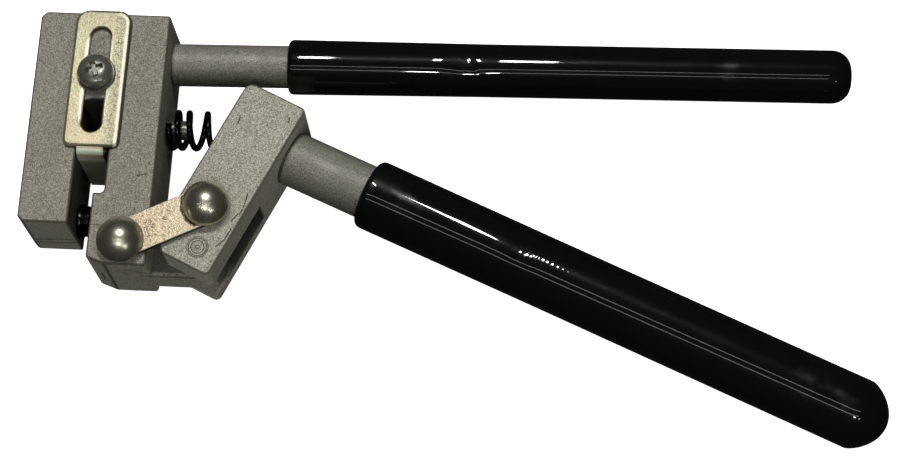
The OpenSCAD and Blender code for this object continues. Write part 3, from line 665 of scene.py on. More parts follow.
class Maker:
    """Turns finished bmeshes into pieces that ride on a body and stand for CAD nodes."""

    def __init__(self, frame: dict) -> None:
        """Keeps the loaded frame.
        """
        self.frame = frame

    def copy_of(self, node: str) -> bmesh.types.BMesh:
        """A merged copy of a CAD node's mesh, with its flat faces made whole."""
        bm = bmesh.new()
        bm.from_mesh(self.frame["nodes"][node].data)
        bmesh.ops.remove_doubles(bm, verts=bm.verts, dist=2e-6)
        bmesh.ops.dissolve_limit(bm, angle_limit=math.radians(0.4), verts=bm.verts, edges=bm.edges)
        return bm

    def piece(self, name: str, bm: bmesh.types.BMesh, material: bpy.types.Material, body: str,
              nodes: Sequence[str], slot: str, smooth: float = 32.0, weighted: bool = True) -> bpy.types.Object:
        """Makes the object of a finished bmesh.

        Args:
            name: the piece's name.
            bm: the finished mesh, in metres and in the row frame; it is freed here.
            material: its finish.
            body: the CAD body that it rides on.
            nodes: CAD nodes that it stands for.
            slot: the record's material slot; it is not used.
            smooth: edges sharper than this, in degrees, stay sharp.
            weighted: whether large faces set the shading of their corners.

        Returns:
            The new object.
        """
        mesh = bpy.data.meshes.new(name)
        bm.to_mesh(mesh)
        bm.free()
        mesh.materials.append(material)
        mesh.shade_smooth()
        mesh.set_sharp_from_angle(angle=math.radians(smooth))
        obj = bpy.data.objects.new(name, mesh)
        bpy.context.scene.collection.objects.link(obj)
        if weighted:
            shading = obj.modifiers.new("Even shading", "WEIGHTED_NORMAL")
            shading.keep_sharp = True
        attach(obj, body)
        if nodes:
            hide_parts(*nodes)
        LOG.info("%s: %d faces, for %s", name, len(mesh.polygons), ", ".join(nodes) or "no node")
        return obj

    def dress(self, node: str, material: bpy.types.Material) -> None:
        """Gives a CAD node that stays in view its finish."""
        obj = self.frame["nodes"][node]
        obj.data.materials.clear()
        obj.data.materials.append(material)
        LOG.info("%s: kept, as %s", node, material.name)


def edge_layer(bm: bmesh.types.BMesh) -> bmesh.types.BMLayerItem:
    """The mask layer that marks rounded edges, made if it is missing."""
    return bm.faces.layers.float.get("edge") or bm.faces.layers.float.new("edge")


def round_edges(bm: bmesh.types.BMesh, width: float, wanted: Callable[[bmesh.types.BMEdge], bool],
                segments: int = 3, sharp: float = 28.0) -> None:
    """Rounds the sharp edges that a test picks, and marks the new faces as edges.

    Args:
        bm: the mesh, in metres.
        width: offset of the bevel, in millimetres.
        wanted: test of one edge.
        segments: faces across the rounding.
        sharp: least angle between an edge's faces, in degrees.
    """
    layer = edge_layer(bm)
    limit = math.radians(sharp)
    picked = [e for e in bm.edges if len(e.link_faces) == 2
              and abs(e.calc_face_angle(0.0)) > limit and wanted(e)]
    made = bmesh.ops.bevel(bm, geom=picked, offset=width * MM, offset_type="OFFSET", affect="EDGES",
                           segments=segments, profile=0.5, material=-1, clamp_overlap=False)
    for face in made["faces"]:
        face[layer] = 1.0


def mark_sides(bm: bmesh.types.BMesh, above: float = -100.0) -> None:
    """Marks the faces of a flat plate that stand on its outline, above a level of Y in millimetres."""
    bm.normal_update()
    layer = bm.faces.layers.float.new("side")
    for face in bm.faces:
        face[layer] = float(abs(face.normal.z) < 0.3 and face.calc_center_median().y > above * MM)


def middle(e: bmesh.types.BMEdge) -> Vector:
    """An edge's middle, in millimetres."""
    return (e.verts[0].co + e.verts[1].co) / (2 * MM)


def runs_along(e: bmesh.types.BMEdge, axis: int) -> bool:
    """Whether an edge lies along one axis of the row frame."""
    d = e.verts[1].co - e.verts[0].co
    return abs(d[axis]) > 0.999 * d.length


def at_level(e: bmesh.types.BMEdge, axis: int, levels: Iterable[float]) -> bool:
    """Whether both ends of an edge lie at one of some levels, in millimetres."""
    return any(all(abs(v.co[axis] / MM - z) < 0.02 for v in e.verts) for z in levels)


def lathe(profile: Sequence[Point2], steps: int = 96) -> bmesh.types.BMesh:
    """Spins a profile about X.

    Args:
        profile: points of [distance along X, radius] in millimetres; a radius of 0 closes the shape.
        steps: faces round the axis.

    Returns:
        The turned mesh, in metres, with its faces outwards.
    """
    bm = bmesh.new()
    verts = [bm.verts.new((x * MM, 0.0, r * MM)) for x, r in profile]
    edges = [bm.edges.new(pair) for pair in zip(verts, verts[1:])]
    bmesh.ops.spin(bm, geom=verts + edges, cent=(0, 0, 0), axis=(1, 0, 0), angle=math.tau, steps=steps,
                   use_merge=True, use_duplicate=False)
    bmesh.ops.remove_doubles(bm, verts=bm.verts, dist=1e-7)
    bmesh.ops.recalc_face_normals(bm, faces=bm.faces)
    return bm


def round_corner(points: Sequence[Point2], corner: int, radius: float, steps: int = 5) -> list[Point2]:
    """Replaces one corner of a profile by a curve tangent to both its sides.

    Args:
        points: the profile.
        corner: the corner's number.
        radius: distance along each side at which the curve starts, in millimetres.
        steps: pieces of the curve.

    Returns:
        The profile with the corner rounded.
    """
    p0, p1, p2 = (Vector(points[k]) for k in (corner - 1, corner, corner + 1))
    a = p1 + (p0 - p1).normalized() * radius
    b = p1 + (p2 - p1).normalized() * radius
    curve = [a.lerp(p1, t).lerp(p1.lerp(b, t), t) for t in (i / steps for i in range(steps + 1))]
    return [*points[:corner], *[tuple(q) for q in curve], *points[corner + 1:]]


def place(bm: bmesh.types.BMesh, at: Vector, turn: Matrix) -> None:
    """Turns a mesh about the origin and moves it to a point given in millimetres."""
    bmesh.ops.transform(bm, matrix=Matrix.Translation(at * MM) @ turn.to_4x4(), verts=bm.verts)


def about_z(degrees: float) -> Matrix:
    """A turn about Z."""
    return Matrix.Rotation(math.radians(degrees), 3, "Z")


# ---------------------------------------------------------------- the punch


@dataclass
class Jaw:
    """The jaw body with its die, pivot block, peg and dowel."""

    maker: Maker
    finishes: Finishes
    front_z: float = 12.0
    back_z: float = -8.0
    edge: float = 0.44
    body_x: float = 30.5
    holes: tuple[tuple[float, float, float], ...] = ((23.0, -8.6, 4.4), (29.14, -7.4, 1.3),
                                                     (14.8, 31.6, 3.0))

    def build(self) -> None:
        """Builds every piece of the jaw."""
        self._body()
        self._pivot_block()
        self._die()
        for node, finish in (("spring_peg", self.finishes.zinc), ("block_pin", self.finishes.bright)):
            self.maker.dress(node, finish)

    def _outline(self, e: bmesh.types.BMEdge) -> bool:
        """Whether an edge belongs to the jaw body's outer outline, and to no hole or channel."""
        m = middle(e)
        return all(math.hypot(m.x - x, m.y - y) > r for x, y, r in self.holes)

    def _body(self) -> None:
        """The jaw body, with its outline edges rounded."""
        bm = self.maker.copy_of("jaw_body")
        side = (self.front_z, self.back_z)
        round_edges(bm, self.edge, lambda e: (runs_along(e, 2) and e.calc_length() > 19 * MM
                                              and middle(e).x < 29)
                    or (at_level(e, 2, side) and self._outline(e)), sharp=17.0)
        self.maker.piece("jaw_body_cast", bm, self.finishes.paint, "jaw", ["jaw_body"], "grey_paint",
                         smooth=50)

    def _die(self) -> None:
        """The die: a shank through the jaw, a rounded flange on its face and a grooved boss."""
        ring = [(0.02, 2.5), (0.02, 3.0), (0.2, 3.19), (11.72, 3.19), (11.72, 3.85), (11.85, 3.98), (12.1, 4.0),
                (12.75, 4.0), (13.0, 3.9), (13.08, 3.7), (13.1, 3.4), (13.3, 3.4), (13.4, 3.56), (13.6, 3.6),
                (14.0, 3.6), (14.1, 3.45), (14.25, 3.45), (14.35, 3.58), (14.6, 3.55), (14.8, 3.4), (14.88, 3.1),
                (14.9, 2.2), (14.85, 2.04), (10.9, 2.04), (10.9, 2.5), (0.02, 2.5)]
        self.maker.piece("die_turned", lathe(ring, 80), self.finishes.oxide, "jaw", ["die"], "black_oxide",
                         smooth=50, weighted=False)

    def _pivot_block(self) -> None:
        """The tongue block, with small roundings on its outer edges."""
        bm = self.maker.copy_of("pivot_block")
        round_edges(bm, 0.3, lambda e: middle(e).x > self.body_x + 0.1
                    and at_level(e, 2, (-3.7, 3.7)) and math.hypot(middle(e).x - 41.95, middle(e).y + 9) > 3)
        self.maker.piece("pivot_tongue", bm, self.finishes.tongue_paint, "jaw", ["pivot_block"], "grey_paint")


@dataclass
class Handle:
    """One handle: a bar and its dipped grip, both on one axis."""

    maker: Maker
    finishes: Finishes
    name: str
    body: str
    foot: tuple[float, float, float]
    slope: float
    bar_r: float
    bar_from: float
    bare: float
    grip_l: float
    grip_r: float
    mouth: float
    lip: float
    dome: float
    tip_shape: tuple[float, float]
    dent_at: tuple[float, float]
    dent_size: tuple[float, float, float]
    wrinkles: float
    joint: tuple[float, float, float]
    steps: int = 112

    def build(self) -> None:
        """Builds the bar and the grip."""
        self._bar()
        self._grip()

    def _put(self, bm: bmesh.types.BMesh) -> None:
        """Moves a mesh made about X onto the handle's axis."""
        place(bm, Vector(self.foot), about_z(self.slope))

    def _bar(self) -> None:
        """The bar, from inside its socket to inside the grip."""
        end = self.bare + self.grip_l - 3
        joint = self.joint
        profile = [(self.bar_from, 0), (self.bar_from, self.bar_r - 0.5), (self.bar_from + 0.5, self.bar_r),
                   (joint[0], self.bar_r), (joint[1], self.bar_r), (joint[2], self.bar_r),
                   (end - 0.5, self.bar_r), (end, self.bar_r - 0.5), (end, 0)]
        bm = lathe(profile, self.steps)
        # painted shade in the side mask: darker towards the underside and the top, with a painted shadow ring
        # where the bar enters its socket
        layer = bm.faces.layers.float.new("side")
        bm.normal_update()
        for face in bm.faces:
            up, x = face.normal.y, face.calc_center_median().x / MM
            painted_shade = 0.62 * max(0.0, -up - 0.1) ** 1.5 + 0.85 * max(0.0, up - 0.45)
            if joint[0] < x < joint[2]:
                painted_shade = max(painted_shade, 0.85 if x < joint[1] else 0.4)
            face[layer] = min(painted_shade, 1.0)
        self._put(bm)
        self.maker.piece(f"{self.name}_bar", bm, self.finishes.bar, self.body, [f"{self.name}_rod"],
                         "grey_rod")

    def _profile(self) -> list[Point2]:
        """Half of the grip's outline, from the bore at its mouth round to the tip."""
        r, l, wide = self.grip_r, self.grip_l, self.grip_r + self.mouth
        lip = round_corner([(1.2, self.bar_r + 0.02), (0.0, self.bar_r + 0.05), (0.0, wide), (l * 0.35, r)],
                           2, self.lip, 8)
        first = lip[-2][0]
        taper = [(first + (l * 0.35 - first) * i / 34, wide - self.mouth * i / 34) for i in range(1, 35)]
        tip = l - self.dome
        run = [(l * 0.35 + (tip - l * 0.35) * i / 60, r) for i in range(1, 61)]
        a, b = self.tip_shape
        cap = [(tip + self.dome * (1 - math.cos(t) ** b) ** (1 / a), r * math.cos(t))
               for t in (math.pi / 2 * i / 22 for i in range(1, 22))]
        return [*lip[:-1], *taper, *run, *cap, (l, 0)]

    def _dent(self, bm: bmesh.types.BMesh) -> None:
        """Presses the dent and its wrinkles into the grip, which still lies along X."""
        along, turn = self.dent_at
        long, wide, deep = self.dent_size
        centre = math.radians(turn)
        for v in bm.verts:
            x, y, z = (c / MM for c in v.co)
            radius = math.hypot(y, z)
            if radius < self.grip_r * 0.9:
                continue
            arc = (math.atan2(z, y) - centre + math.pi) % math.tau - math.pi
            u, w = (x - along) / long, arc * self.grip_r / wide
            near = math.exp(-(u * u + w * w))
            crease = math.exp(-((u * 2.4 - w * 1.1 - 0.9) ** 2) * 3) * math.exp(-(u * u + w * w) * 0.6)
            tail = math.exp(-(((u - 1.6) / 1.6) ** 2 + (w * 0.9) ** 2))
            push = -deep * near - deep * 0.3 * crease
            push += self.wrinkles * tail * math.sin(x * 4.8 + w * 1.2 + 2 * noise.noise(v.co * 300))
            v.co.y += push * y / radius * MM
            v.co.z += push * z / radius * MM

    def _grip(self) -> None:
        """The dipped grip."""
        bm = lathe(self._profile(), self.steps)
        fine = [e for e in bm.edges if abs(middle(e).x - self.dent_at[0]) < 16]
        bmesh.ops.subdivide_edges(bm, edges=[e for e in fine if runs_along(e, 0)], cuts=3)
        self._dent(bm)
        bmesh.ops.translate(bm, vec=(self.bare * MM, 0, 0), verts=bm.verts)
        self._put(bm)
        self.maker.piece(f"{self.name}_grip_dipped", bm, self.finishes.vinyl, self.body,
                         [f"{self.name}_grip"], "vinyl", smooth=50, weighted=False)


@dataclass
class Lever:
    """The forked lever block with its pivot pin and link pin."""

    maker: Maker
    finishes: Finishes
    pivot: tuple[float, float] = (41.95, -9.0)
    grooves: tuple[float, ...] = (0.45, 1.48, 2.08)
    slope: float = -25.1
    front_z: float = 12.0
    back_z: float = -8.0
    edge: float = 0.44

    def build(self) -> None:
        """Builds the block and its pins."""
        self._block()
        self._pivot_pin()
        self.maker.dress("lever_pin", self.finishes.bright)

    def _local(self, e: bmesh.types.BMEdge) -> Vector:
        """An edge's middle in the block's own axes, from its pivot, in millimetres."""
        return about_z(-self.slope) @ (middle(e) - Vector((*self.pivot, 0)))

    def _block(self) -> None:
        """The block, with its edges on the front and back faces and its long upright edges rounded, away from its
        pin bores.
        """
        bm = self.maker.copy_of("lever_block")
        side = (self.front_z, self.back_z)

        def outer(e: bmesh.types.BMEdge) -> bool:
            """Whether an edge is on the block's outline, away from its pin bores."""
            p = self._local(e)
            return math.hypot(p.x, p.y) > 3.2 and math.hypot(p.x + 2.95, p.y - 9.4) > 2.6

        round_edges(bm, self.edge, lambda e: outer(e) and (
            at_level(e, 2, side) or (runs_along(e, 2) and e.calc_length() > 4 * MM)))
        self.maker.piece("lever_block_cast", bm, self.finishes.lever_paint, "lever", ["lever_block"], "grey_paint")

    def _pivot_pin(self) -> None:
        """The flush pivot pin, with the ring that its riveting left."""
        top, low = self.front_z + 0.06, self.back_z - 0.06
        ring = [(0, 0)]
        for r in self.grooves:
            ring += [(0, r - 0.1), (0.12, r), (0, r + 0.1)]
        ring += [(0, 2.36), (0.3, 2.49)]
        profile = [(top - x, r) for x, r in ring] + [(low + x, r) for x, r in reversed(ring)]
        bm = lathe(profile, 64)
        # painted shade: the grooves and the outer rim carry the edge mask, which the lever's paint darkens
        layer = edge_layer(bm)
        for face in bm.faces:
            out = face.calc_center_median().yz.length / MM
            if out > 2.37 or any(abs(out - r) < 0.12 for r in self.grooves):
                face[layer] = 1.0
        place(bm, Vector((*self.pivot, 0)), Matrix.Rotation(-math.pi / 2, 3, "Y"))
        self.maker.piece("pivot_pin_riveted", bm, self.finishes.lever_paint, "lever", ["pivot_pin"],
                         "bright_steel", smooth=60)


@dataclass
class Linkage:
    """The two links, their pins and the four domed caps."""

    maker: Maker
    finishes: Finishes
    slide_at: tuple[float, float] = (24.6, -8.6)
    lever_at: tuple[float, float] = (43.26605, 0.76374)
    cap_front: float = 13.95
    cap_back: float = -9.95
    cap_sizes: dict[int, Point2] = field(default_factory=lambda: {1: (5.35, 4.3), -1: (4.4, 3.4)})
    rim: float = 0.75

    def build(self) -> None:
        """Builds the links and the caps."""
        for node, body_slot in (("front_link", "links"), ("rear_link", "links")):
            bm = self.maker.copy_of(node)
            levels = (12.25, 13.75) if node == "front_link" else (-9.75, -8.25)
            round_edges(bm, 0.24, lambda e: at_level(e, 2, levels), segments=3)
            mark_sides(bm)
            self.maker.piece(f"{node}_plated", bm, self.finishes.link, body_slot, [node], "yellow_zinc")
        for name, body, at in (("slide", "slide", self.slide_at), ("lever", "lever", self.lever_at)):
            self._cap(f"{name}_cap_front", body, at, self.cap_front, 1)
            self._cap(f"{name}_cap_rear", body, at, self.cap_back, -1)
        self.maker.dress("slide_pin", self.finishes.bright)

    def _cap(self, node: str, body: str, at: Point2, level: float, side: int) -> None:
        """One domed cap.

        Args:
            node: the CAD node that it stands for.
            body: the body that it rides on.
            at: the pin's place.
            level: height of the rim.
            side: 1 on the front face, -1 on the back face.
        """
        r, tall = self.cap_sizes[side]
        h = tall - self.rim
        ball = (r * r + h * h) / (2 * h)
        sweep = math.asin(r / ball)
        dome = [(self.rim + h - ball + ball * math.cos(sweep * i / 24), ball * math.sin(sweep * i / 24))
                for i in range(25)]
        profile = [*dome, (self.rim * 0.75, r + 0.03), (0.12, r), (0.0, r - 0.12), (0.0, r - 0.5),
                   (0.3, r - 0.62), (0.3, 1.95)]
        bm = lathe(profile, 80)
        place(bm, Vector((*at, level)), Matrix.Rotation(-side * math.pi / 2, 3, "Y"))
        self.maker.piece(f"{node}_domed", bm, self.finishes.cap, body, [node], "cap_steel", smooth=55,
                         weighted=False)


@dataclass
class Slide:
    """The slide and its punch."""

    maker: Maker
    finishes: Finishes

    def build(self) -> None:
        """Dresses the slide's nodes, which are seen only through the jaw."""
        self.maker.dress("punch_slide", self.finishes.oxide)
        self.maker.dress("punch", self.finishes.bright)


@dataclass
class Gauge:
    """The depth gauge with its clamp screw and washer."""

    maker: Maker
    finishes: Finishes
    at: tuple[float, float] = (14.825, 31.6)
    washer_z: float = 13.2
    head_z: float = 14.0
    head_r: float = 4.05
    head_h: float = 2.9
    recess_turn: float = 20.0
    flare_z: float = 10.8
    flare_top: float = 11.9
    shoulder: float = 1.6
    bend_r: float = 1.1
    outline: tuple[float, float, float, float] = (8.525, 21.725, 13.7, 47.85)
    top_radii: tuple[float, float] = (2.4, 3.2)
    low_radii: tuple[float, float] = (1.0, 1.8)

    def build(self) -> None:
        """Builds the plate, the washer and the screw."""
        self._plate()
        self._washer()
        self._screw()

    def _plate(self) -> None:
        """The slotted plate, with soft plated edges."""
        bm = self.maker.copy_of("gauge_plate")
        self._ease_corners(bm)
        for width, inner in ((0.7, False), (0.4, True)):
            round_edges(bm, width, lambda e: at_level(e, 2, (13.2,)) and middle(e).y > 12.5
                        and inner == (15.0 < middle(e).y < 45.0 and abs(middle(e).x - self.at[0]) < 3.0),
                        segments=5)
        for v in bm.verts:
            if abs(v.co.z / MM - self.flare_z) < 0.01:
                v.co.z = self.flare_top * MM
                v.co.y += self.shoulder * MM if v.co.y / MM > 12.9 else 0.0
        round_edges(bm, self.bend_r, lambda e: at_level(e, 2, (self.flare_top,)) and middle(e).y < 12.0,
                    segments=6, sharp=15.0)
        mark_sides(bm, self.outline[2] - 0.1)
        self.maker.piece("gauge_plate_plated", bm, self.finishes.gauge, "gauge", ["gauge_plate"],
                         "yellow_zinc")

    def _ease_corners(self, bm: bmesh.types.BMesh) -> None:
        """Gives the plate's corners the wider curves that the photo shows."""
        left, right, low, top = self.outline
        for x, way_x in ((left, -1), (right, 1)):
            for y, way_y, (old, new) in ((low, -1, self.low_radii), (top, 1, self.top_radii)):
                way = Vector((way_x, way_y))
                centre = Vector((x, y)) - way * old
                for v in bm.verts:
                    away = v.co.xy / MM - centre
                    if min(away.x * way.x, away.y * way.y) > -0.01 and abs(away.length - old) < 0.02:
                        v.co.xy = (centre - way * (new - old) + away * new / old) * MM

    def _washer(self) -> None:
        """The washer, with an eased rim."""
        z, r = 0.8, 4.5
        bm = lathe([(0, 2.1), (0, r - 0.15), (0.15, r), (z - 0.2, r), (z, r - 0.2), (z, 2.1)], 72)
        place(bm, Vector((*self.at, self.washer_z)), Matrix.Rotation(-math.pi / 2, 3, "Y"))
        self.maker.piece("gauge_washer_plated", bm, self.finishes.zinc, "screw", ["gauge_washer"], "zinc")

    def _screw(self) -> None:
        """The pan head with its cross recess, and the shank down to the jaw."""
        r, h = self.head_r, self.head_h
        pan = [(h, 0), (h, r * 0.42), (h - 0.12, r * 0.62), (h - 0.45, r * 0.82), (h - 1.0, r * 0.95),
               (h - 1.7, r), (0.35, r), (0.0, r - 0.25), (0.0, 2.0), (-10.0, 2.0), (-10.0, 0)]
        bm = lathe(pan, 96)
        place(bm, Vector((*self.at, self.head_z)), Matrix.Rotation(-math.pi / 2, 3, "Y"))
        head = self.maker.piece("gauge_screw_driven", bm, self.finishes.zinc, "screw", ["gauge_screw"],
                                "zinc", smooth=40)
        cutters = [self._wing(turn) for turn in (0, 90)]
        for k, cutter in enumerate(cutters):
            cut = head.modifiers.new(f"Cross recess {k}", "BOOLEAN")
            cut.operation, cut.solver, cut.object = "DIFFERENCE", "EXACT", cutter
            head.modifiers.move(len(head.modifiers) - 1, k)
        apply_modifiers(head)
        for cutter in cutters:
            bpy.data.objects.remove(cutter)

    def _wing(self, turn: float) -> bpy.types.Object:
        """One tapered wing of the cross recess, as a cutter.

        Args:
            turn: the wing's turn from the recess's first one, in degrees.

        Returns:
            The cutter.
        """
        deep, lift = 1.0, 0.4
        bm = bmesh.new()
        bmesh.ops.create_cube(bm, size=1.0)
        for v in bm.verts:
            low = v.co.z < 0
            v.co = Vector((v.co.x * (2.6 if low else 5.5), v.co.y * (0.9 if low else 1.5),
                           lift if not low else lift - deep - 0.3)) * MM
        bmesh.ops.bevel(bm, geom=[e for e in bm.edges if abs(e.verts[0].co.z - e.verts[1].co.z) > 0.0001],
                        offset=0.16 * MM, affect="EDGES", segments=2, profile=0.5, material=-1)
        place(bm, Vector((*self.at, self.head_z + self.head_h)), about_z(turn + self.recess_turn))
        mesh = bpy.data.meshes.new("recess_cutter")
        bm.to_mesh(mesh)
        bm.free()
        # the cutter's walls bring the recess's painted highlight into the head
        mesh.materials.append(self.finishes.recess)
        obj = bpy.data.objects.new("recess_cutter", mesh)
        bpy.context.scene.collection.objects.link(obj)
        return obj


def apply_modifiers(obj: bpy.types.Object) -> None:
    """Bakes an object's modifiers into its mesh."""
    bpy.context.view_layer.update()
    evaluated = obj.evaluated_get(bpy.context.evaluated_depsgraph_get())
    mesh = bpy.data.meshes.new_from_object(evaluated)
    obj.modifiers.clear()
    obj.data = mesh


@dataclass
class ReturnSpring:
    """The return spring: one smooth round wire along the CAD wire's own line."""

    maker: Maker
    finishes: Finishes
    wire_r: float = 0.75
    coil_r: float = 4.1
    jaw_x: float = 30.5
    axis_y: float = 22.75
    axis_z: float = 2.0
    end_room: float = 0.9
    end_pitch: float = 2.05
    mid_pitch: float = 5.2
    near_turns: float = 2.0
    far_turns: float = 1.0
    start: float = 0.25
    bore_slope: float = -22.9
    seat: Point2 = (54.13267, 19.47117)
    per_turn: int = 36
    closed: float = 0.54
    closed_way: tuple[float, float, float] = (0.98769, -0.15643, 0.0)
    closed_from: float = 31.0

    def __post_init__(self) -> None:
        """Works out the axis: a straight run, then a bend into the lever's bore."""
        turn = math.radians(-self.bore_slope)
        self.bend_r = (self.axis_y - self.seat[1]) / (1 - math.cos(turn))
        self.straight = self.seat[0] - self.bend_r * math.sin(turn) - self.jaw_x
        self.coil_l = self.straight + self.bend_r * turn - 2 * self.end_room
        mean = (self.end_pitch + self.mid_pitch) / 2
        self.near, self.far = mean * self.near_turns, mean * self.far_turns
        self.turns = ((self.coil_l - 2 * self.end_pitch - self.near - self.far) / self.mid_pitch
                      + self.near_turns + self.far_turns + 2)

    def _axis(self, s: float) -> tuple[Vector, float]:
        """The axis at a distance from the jaw: its point in millimetres and its turn in radians."""
        if s < self.straight:
            return Vector((self.jaw_x + s, self.axis_y, self.axis_z)), 0.0
        a = -(s - self.straight) / self.bend_r
        x = self.jaw_x + self.straight - self.bend_r * math.sin(a)
        return Vector((x, self.axis_y - self.bend_r + self.bend_r * math.cos(a), self.axis_z)), a

    def _along(self, t: float) -> float:
        """Distance along the axis after t turns: close end turns, eased into the open ones."""
        def ease(q: float, over: float) -> float:
            """Distance covered q turns into a ramp that takes over turns."""
            return self.end_pitch * q + (self.mid_pitch - self.end_pitch) * q * q / 2 / over
        if t < 1:
            return self.end_pitch * t
        if t < 1 + self.near_turns:
            return self.end_pitch + ease(t - 1, self.near_turns)
        if t < self.turns - 1 - self.far_turns:
            return self.end_pitch + self.near + self.mid_pitch * (t - 1 - self.near_turns)
        if t < self.turns - 1:
            return self.coil_l - self.end_pitch - ease(self.turns - 1 - t, self.far_turns)
        return self.coil_l - self.end_pitch * (self.turns - t)

    def _point(self, t: float) -> Vector:
        """The wire's centre after t turns, in millimetres."""
        at, turn = self._axis(self.end_room + self._along(t))
        a = math.pi / 2 - math.tau * (t + self.start)
        return at + self.coil_r * Vector((-math.sin(turn) * math.sin(a), math.cos(turn) * math.sin(a),
                                          math.cos(a)))

    def build(self) -> None:
        """Builds the wire as a round curve, made a mesh."""
        curve = bpy.data.curves.new("spring_line", "CURVE")
        curve.dimensions = "3D"
        curve.bevel_depth = self.wire_r * MM
        curve.bevel_resolution = 6
        curve.use_fill_caps = True
        count = round(self.turns * self.per_turn)
        line = curve.splines.new("POLY")
        line.points.add(count)
        for k, point in enumerate(line.points):
            point.co = (*(self._point(self.turns * k / count) * MM), 1.0)
        holder = bpy.data.objects.new("spring_line", curve)
        bpy.context.scene.collection.objects.link(holder)
        bpy.context.view_layer.update()
        shape = bpy.data.meshes.new_from_object(holder.evaluated_get(bpy.context.evaluated_depsgraph_get()))
        bpy.data.objects.remove(holder)
        bm = bmesh.new()
        bm.from_mesh(shape)
        bmesh.ops.remove_doubles(bm, verts=bm.verts, dist=1e-7)
        bmesh.ops.recalc_face_normals(bm, faces=bm.faces)
        spring = self.maker.piece("return_spring_wire", bm, self.finishes.spring, "jaw", ["return_spring"],
                                  "spring_black", smooth=60, weighted=False)
        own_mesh(spring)


# ---------------------------------------------------------------- the studio


@dataclass(frozen=True)
class Lamp:
    """One rectangular light: its direction from the punch, distance, size and power.

    A light that is not mirrored lights the pieces but leaves no reflection on the glossy ones.
    """

    name: str
    way: tuple[float, float, float]
    far: float
    size: Point2
    watts: float
    mirrored: bool = False


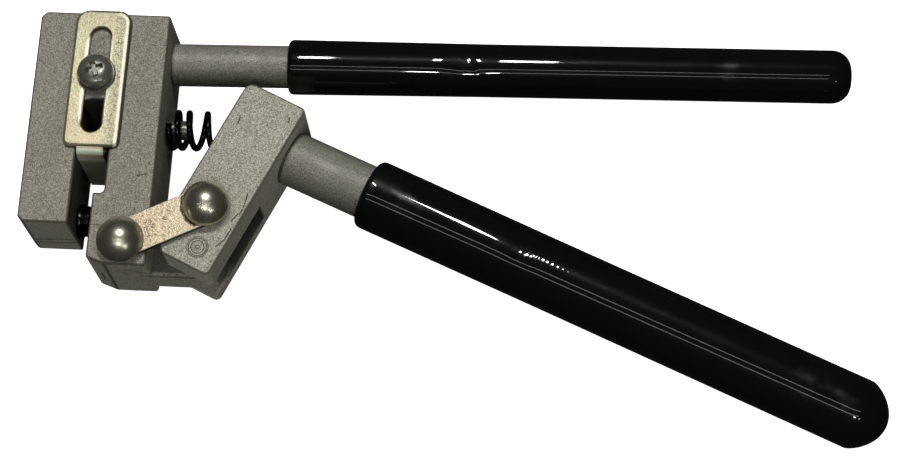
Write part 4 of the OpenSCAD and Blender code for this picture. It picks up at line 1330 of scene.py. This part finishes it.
@dataclass
class Studio:
    """The floor, the lights and the camera at the photograph's viewing angle."""

    floor_z: float = -13.45
    camera_at: tuple[float, float, float] = (128.2465, -171.2946, 507.6872)
    camera_turn: tuple[float, float, float, float] = (0.98562, 0.165476, 0.023798, 0.024604)
    lens: float = 93.2513
    shift: tuple[float, float] = (-0.003926, -0.009685)
    middle: tuple[float, float, float] = (95.0, 5.0, 0.0)
    world: float = 0.015
    lamps: tuple[Lamp, ...] = (
        Lamp("ceiling_left", (-0.13, 0.37, 0.93), 1.35, (0.032, 0.16), 2.35, True),
        Lamp("ceiling_middle", (-0.015, 0.37, 0.93), 1.35, (0.056, 0.16), 3.65, True),
        Lamp("ceiling_right", (0.21, 0.37, 0.93), 1.35, (0.040, 0.16), 3.3),
        Lamp("ceiling_soft", (0.38, 0.36, 0.90), 1.3, (0.30, 0.20), 0.6),
        Lamp("window_left", (-0.35, -0.35, 0.87), 1.2, (0.5, 0.5), 0.4),
        Lamp("wall_right", (0.65, -0.65, 0.40), 1.2, (0.5, 0.5), 0.2),
        Lamp("wall_low", (0.20, -0.95, 0.15), 1.2, (0.5, 0.3), 3.3),
        Lamp("wall_left", (-1.0, 0.10, 0.06), 1.2, (0.6, 0.4), 4.5),
        Lamp("wall_back", (0.10, 1.0, 0.05), 1.2, (0.6, 0.4), 3.0),
        Lamp("back_high", (-0.25, 0.62, 0.75), 1.2, (0.5, 0.5), 0.1),
        Lamp("spot_near", (-0.035, -0.51, 0.86), 1.2, (0.05, 0.05), 0.95, True),
        Lamp("spot_right", (0.40, -0.60, 0.70), 1.2, (0.05, 0.05), 0.75, True),
        Lamp("camera_above", (-0.12, -0.213, 0.965), 0.56, (0.46, 0.008), 0.15, True),
        Lamp("camera_below", (-0.12, -0.46, 0.88), 0.56, (0.46, 0.008), 0.15, True))

    def build(self) -> None:
        """Builds the whole studio."""
        self._view()
        self._floor()
        self._world()
        self._lights()
        self._camera()

    @staticmethod
    def _view() -> None:
        """Plain colour handling, without a film curve."""
        settings = bpy.context.scene.view_settings
        settings.view_transform = "Standard"
        settings.look = "None"
        settings.exposure = 0.0

    def _floor(self) -> None:
        """A plain pale floor."""
        bm = bmesh.new()
        bmesh.ops.create_grid(bm, x_segments=2, y_segments=2, size=3.0)
        bmesh.ops.translate(bm, verts=bm.verts, vec=Vector((95, 0, self.floor_z)) * MM)
        mesh = bpy.data.meshes.new("floor")
        bm.to_mesh(mesh)
        bm.free()
        floor = bpy.data.objects.new("floor", mesh)
        bpy.context.scene.collection.objects.link(floor)
        material = bpy.data.materials.new("studio_floor")
        material.use_nodes = True
        shader = material.node_tree.nodes["Principled BSDF"]
        shader.inputs["Base Color"].default_value = (0.90, 0.90, 0.90, 1)
        shader.inputs["Roughness"].default_value = 0.9
        shader.inputs["Emission Color"].default_value = (1.0, 1.0, 1.0, 1)
        shader.inputs["Emission Strength"].default_value = 0.94
        mesh.materials.append(material)
        floor.visible_diffuse = False
        floor.visible_glossy = False

    def _world(self) -> None:
        """A dim even surround."""
        world = bpy.data.worlds.new("studio")
        bpy.context.scene.world = world
        world.use_nodes = True
        background = world.node_tree.nodes["Background"]
        background.inputs["Color"].default_value = (1, 1, 1, 1)
        background.inputs["Strength"].default_value = self.world

    def _light(self, lamp: Lamp) -> None:
        """One rectangular light that faces the punch."""
        data = bpy.data.lights.new(lamp.name, "AREA")
        data.shape = "RECTANGLE"
        data.size, data.size_y = lamp.size
        data.energy = lamp.watts
        obj = bpy.data.objects.new(lamp.name, data)
        bpy.context.scene.collection.objects.link(obj)
        obj.visible_glossy = lamp.mirrored
        out = Vector(lamp.way).normalized()
        along = (Vector((1, 0, 0)) - out * out.x).normalized()
        frame = Matrix((along, out.cross(along), out)).transposed()
        obj.matrix_world = Matrix.Translation(Vector(self.middle) * MM + out * lamp.far) @ frame.to_4x4()

    def _lights(self) -> None:
        """The soft lights round the camera and overhead."""
        for lamp in self.lamps:
            self._light(lamp)

    def _camera(self) -> None:
        """The camera."""
        data = bpy.data.cameras.new("camera")
        data.lens = self.lens
        data.sensor_width = 36.0
        data.sensor_fit = "HORIZONTAL"
        data.shift_x, data.shift_y = self.shift
        data.clip_start, data.clip_end = 0.01, 10.0
        data.dof.use_dof = False
        camera = bpy.data.objects.new("camera", data)
        bpy.context.scene.collection.objects.link(camera)
        camera.matrix_world = Matrix.Translation(Vector(self.camera_at) * MM) @ Quaternion(
            self.camera_turn).to_matrix().to_4x4()
        bpy.context.scene.camera = camera


class Grip(Enum):
    """The two handles."""

    UPPER = "upper"
    LOWER = "lower"


def handle(maker: Maker, finishes: Finishes, which: Grip) -> Handle:
    """The sizes of one handle.

    Args:
        maker: what makes the pieces.
        finishes: the finishes.
        which: the handle that is wanted.

    Returns:
        The handle, ready to build.
    """
    if which is Grip.UPPER:
        return Handle(maker, finishes, "upper", "jaw", (30.5, 39.22, 2.0), 1.17, 5.0, -15.8, 27.4, 131.6,
                      6.22, 0.25, 1.35, 4.6, (1.9, 2.9), (41.5, 95.0), (4.2, 2.8, 0.26), 0.0,
                      (-0.4, 0.35, 0.75))
    foot = Vector((41.95, -9.0, 2.0)) + about_z(-25.1) @ Vector((5.45, 31.2, 0))
    return Handle(maker, finishes, "lower", "lever", tuple(foot), -22.9, 6.4, -6.5, 20.1, 128.8,
                  8.1, 0.15, 1.7, 6.6, (1.35, 2.0), (39.1, 83.0), (3.4, 2.6, 0.16), 0.016,
                  (-0.6, 0.6, 1.0))


def main() -> None:
    """Builds the punch and its studio, sub-assembly by sub-assembly."""
    logging.basicConfig(level=logging.INFO, format="%(name)s: %(message)s")
    for obj in list(bpy.data.objects):
        bpy.data.objects.remove(obj)
    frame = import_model()
    maker, finishes = Maker(frame), Finishes()
    for part in (Jaw(maker, finishes), handle(maker, finishes, Grip.UPPER),
                 handle(maker, finishes, Grip.LOWER), Lever(maker, finishes), Linkage(maker, finishes),
                 Slide(maker, finishes), Gauge(maker, finishes), ReturnSpring(maker, finishes)):
        part.build()
    Studio().build()


if __name__ == "__main__":
    main()
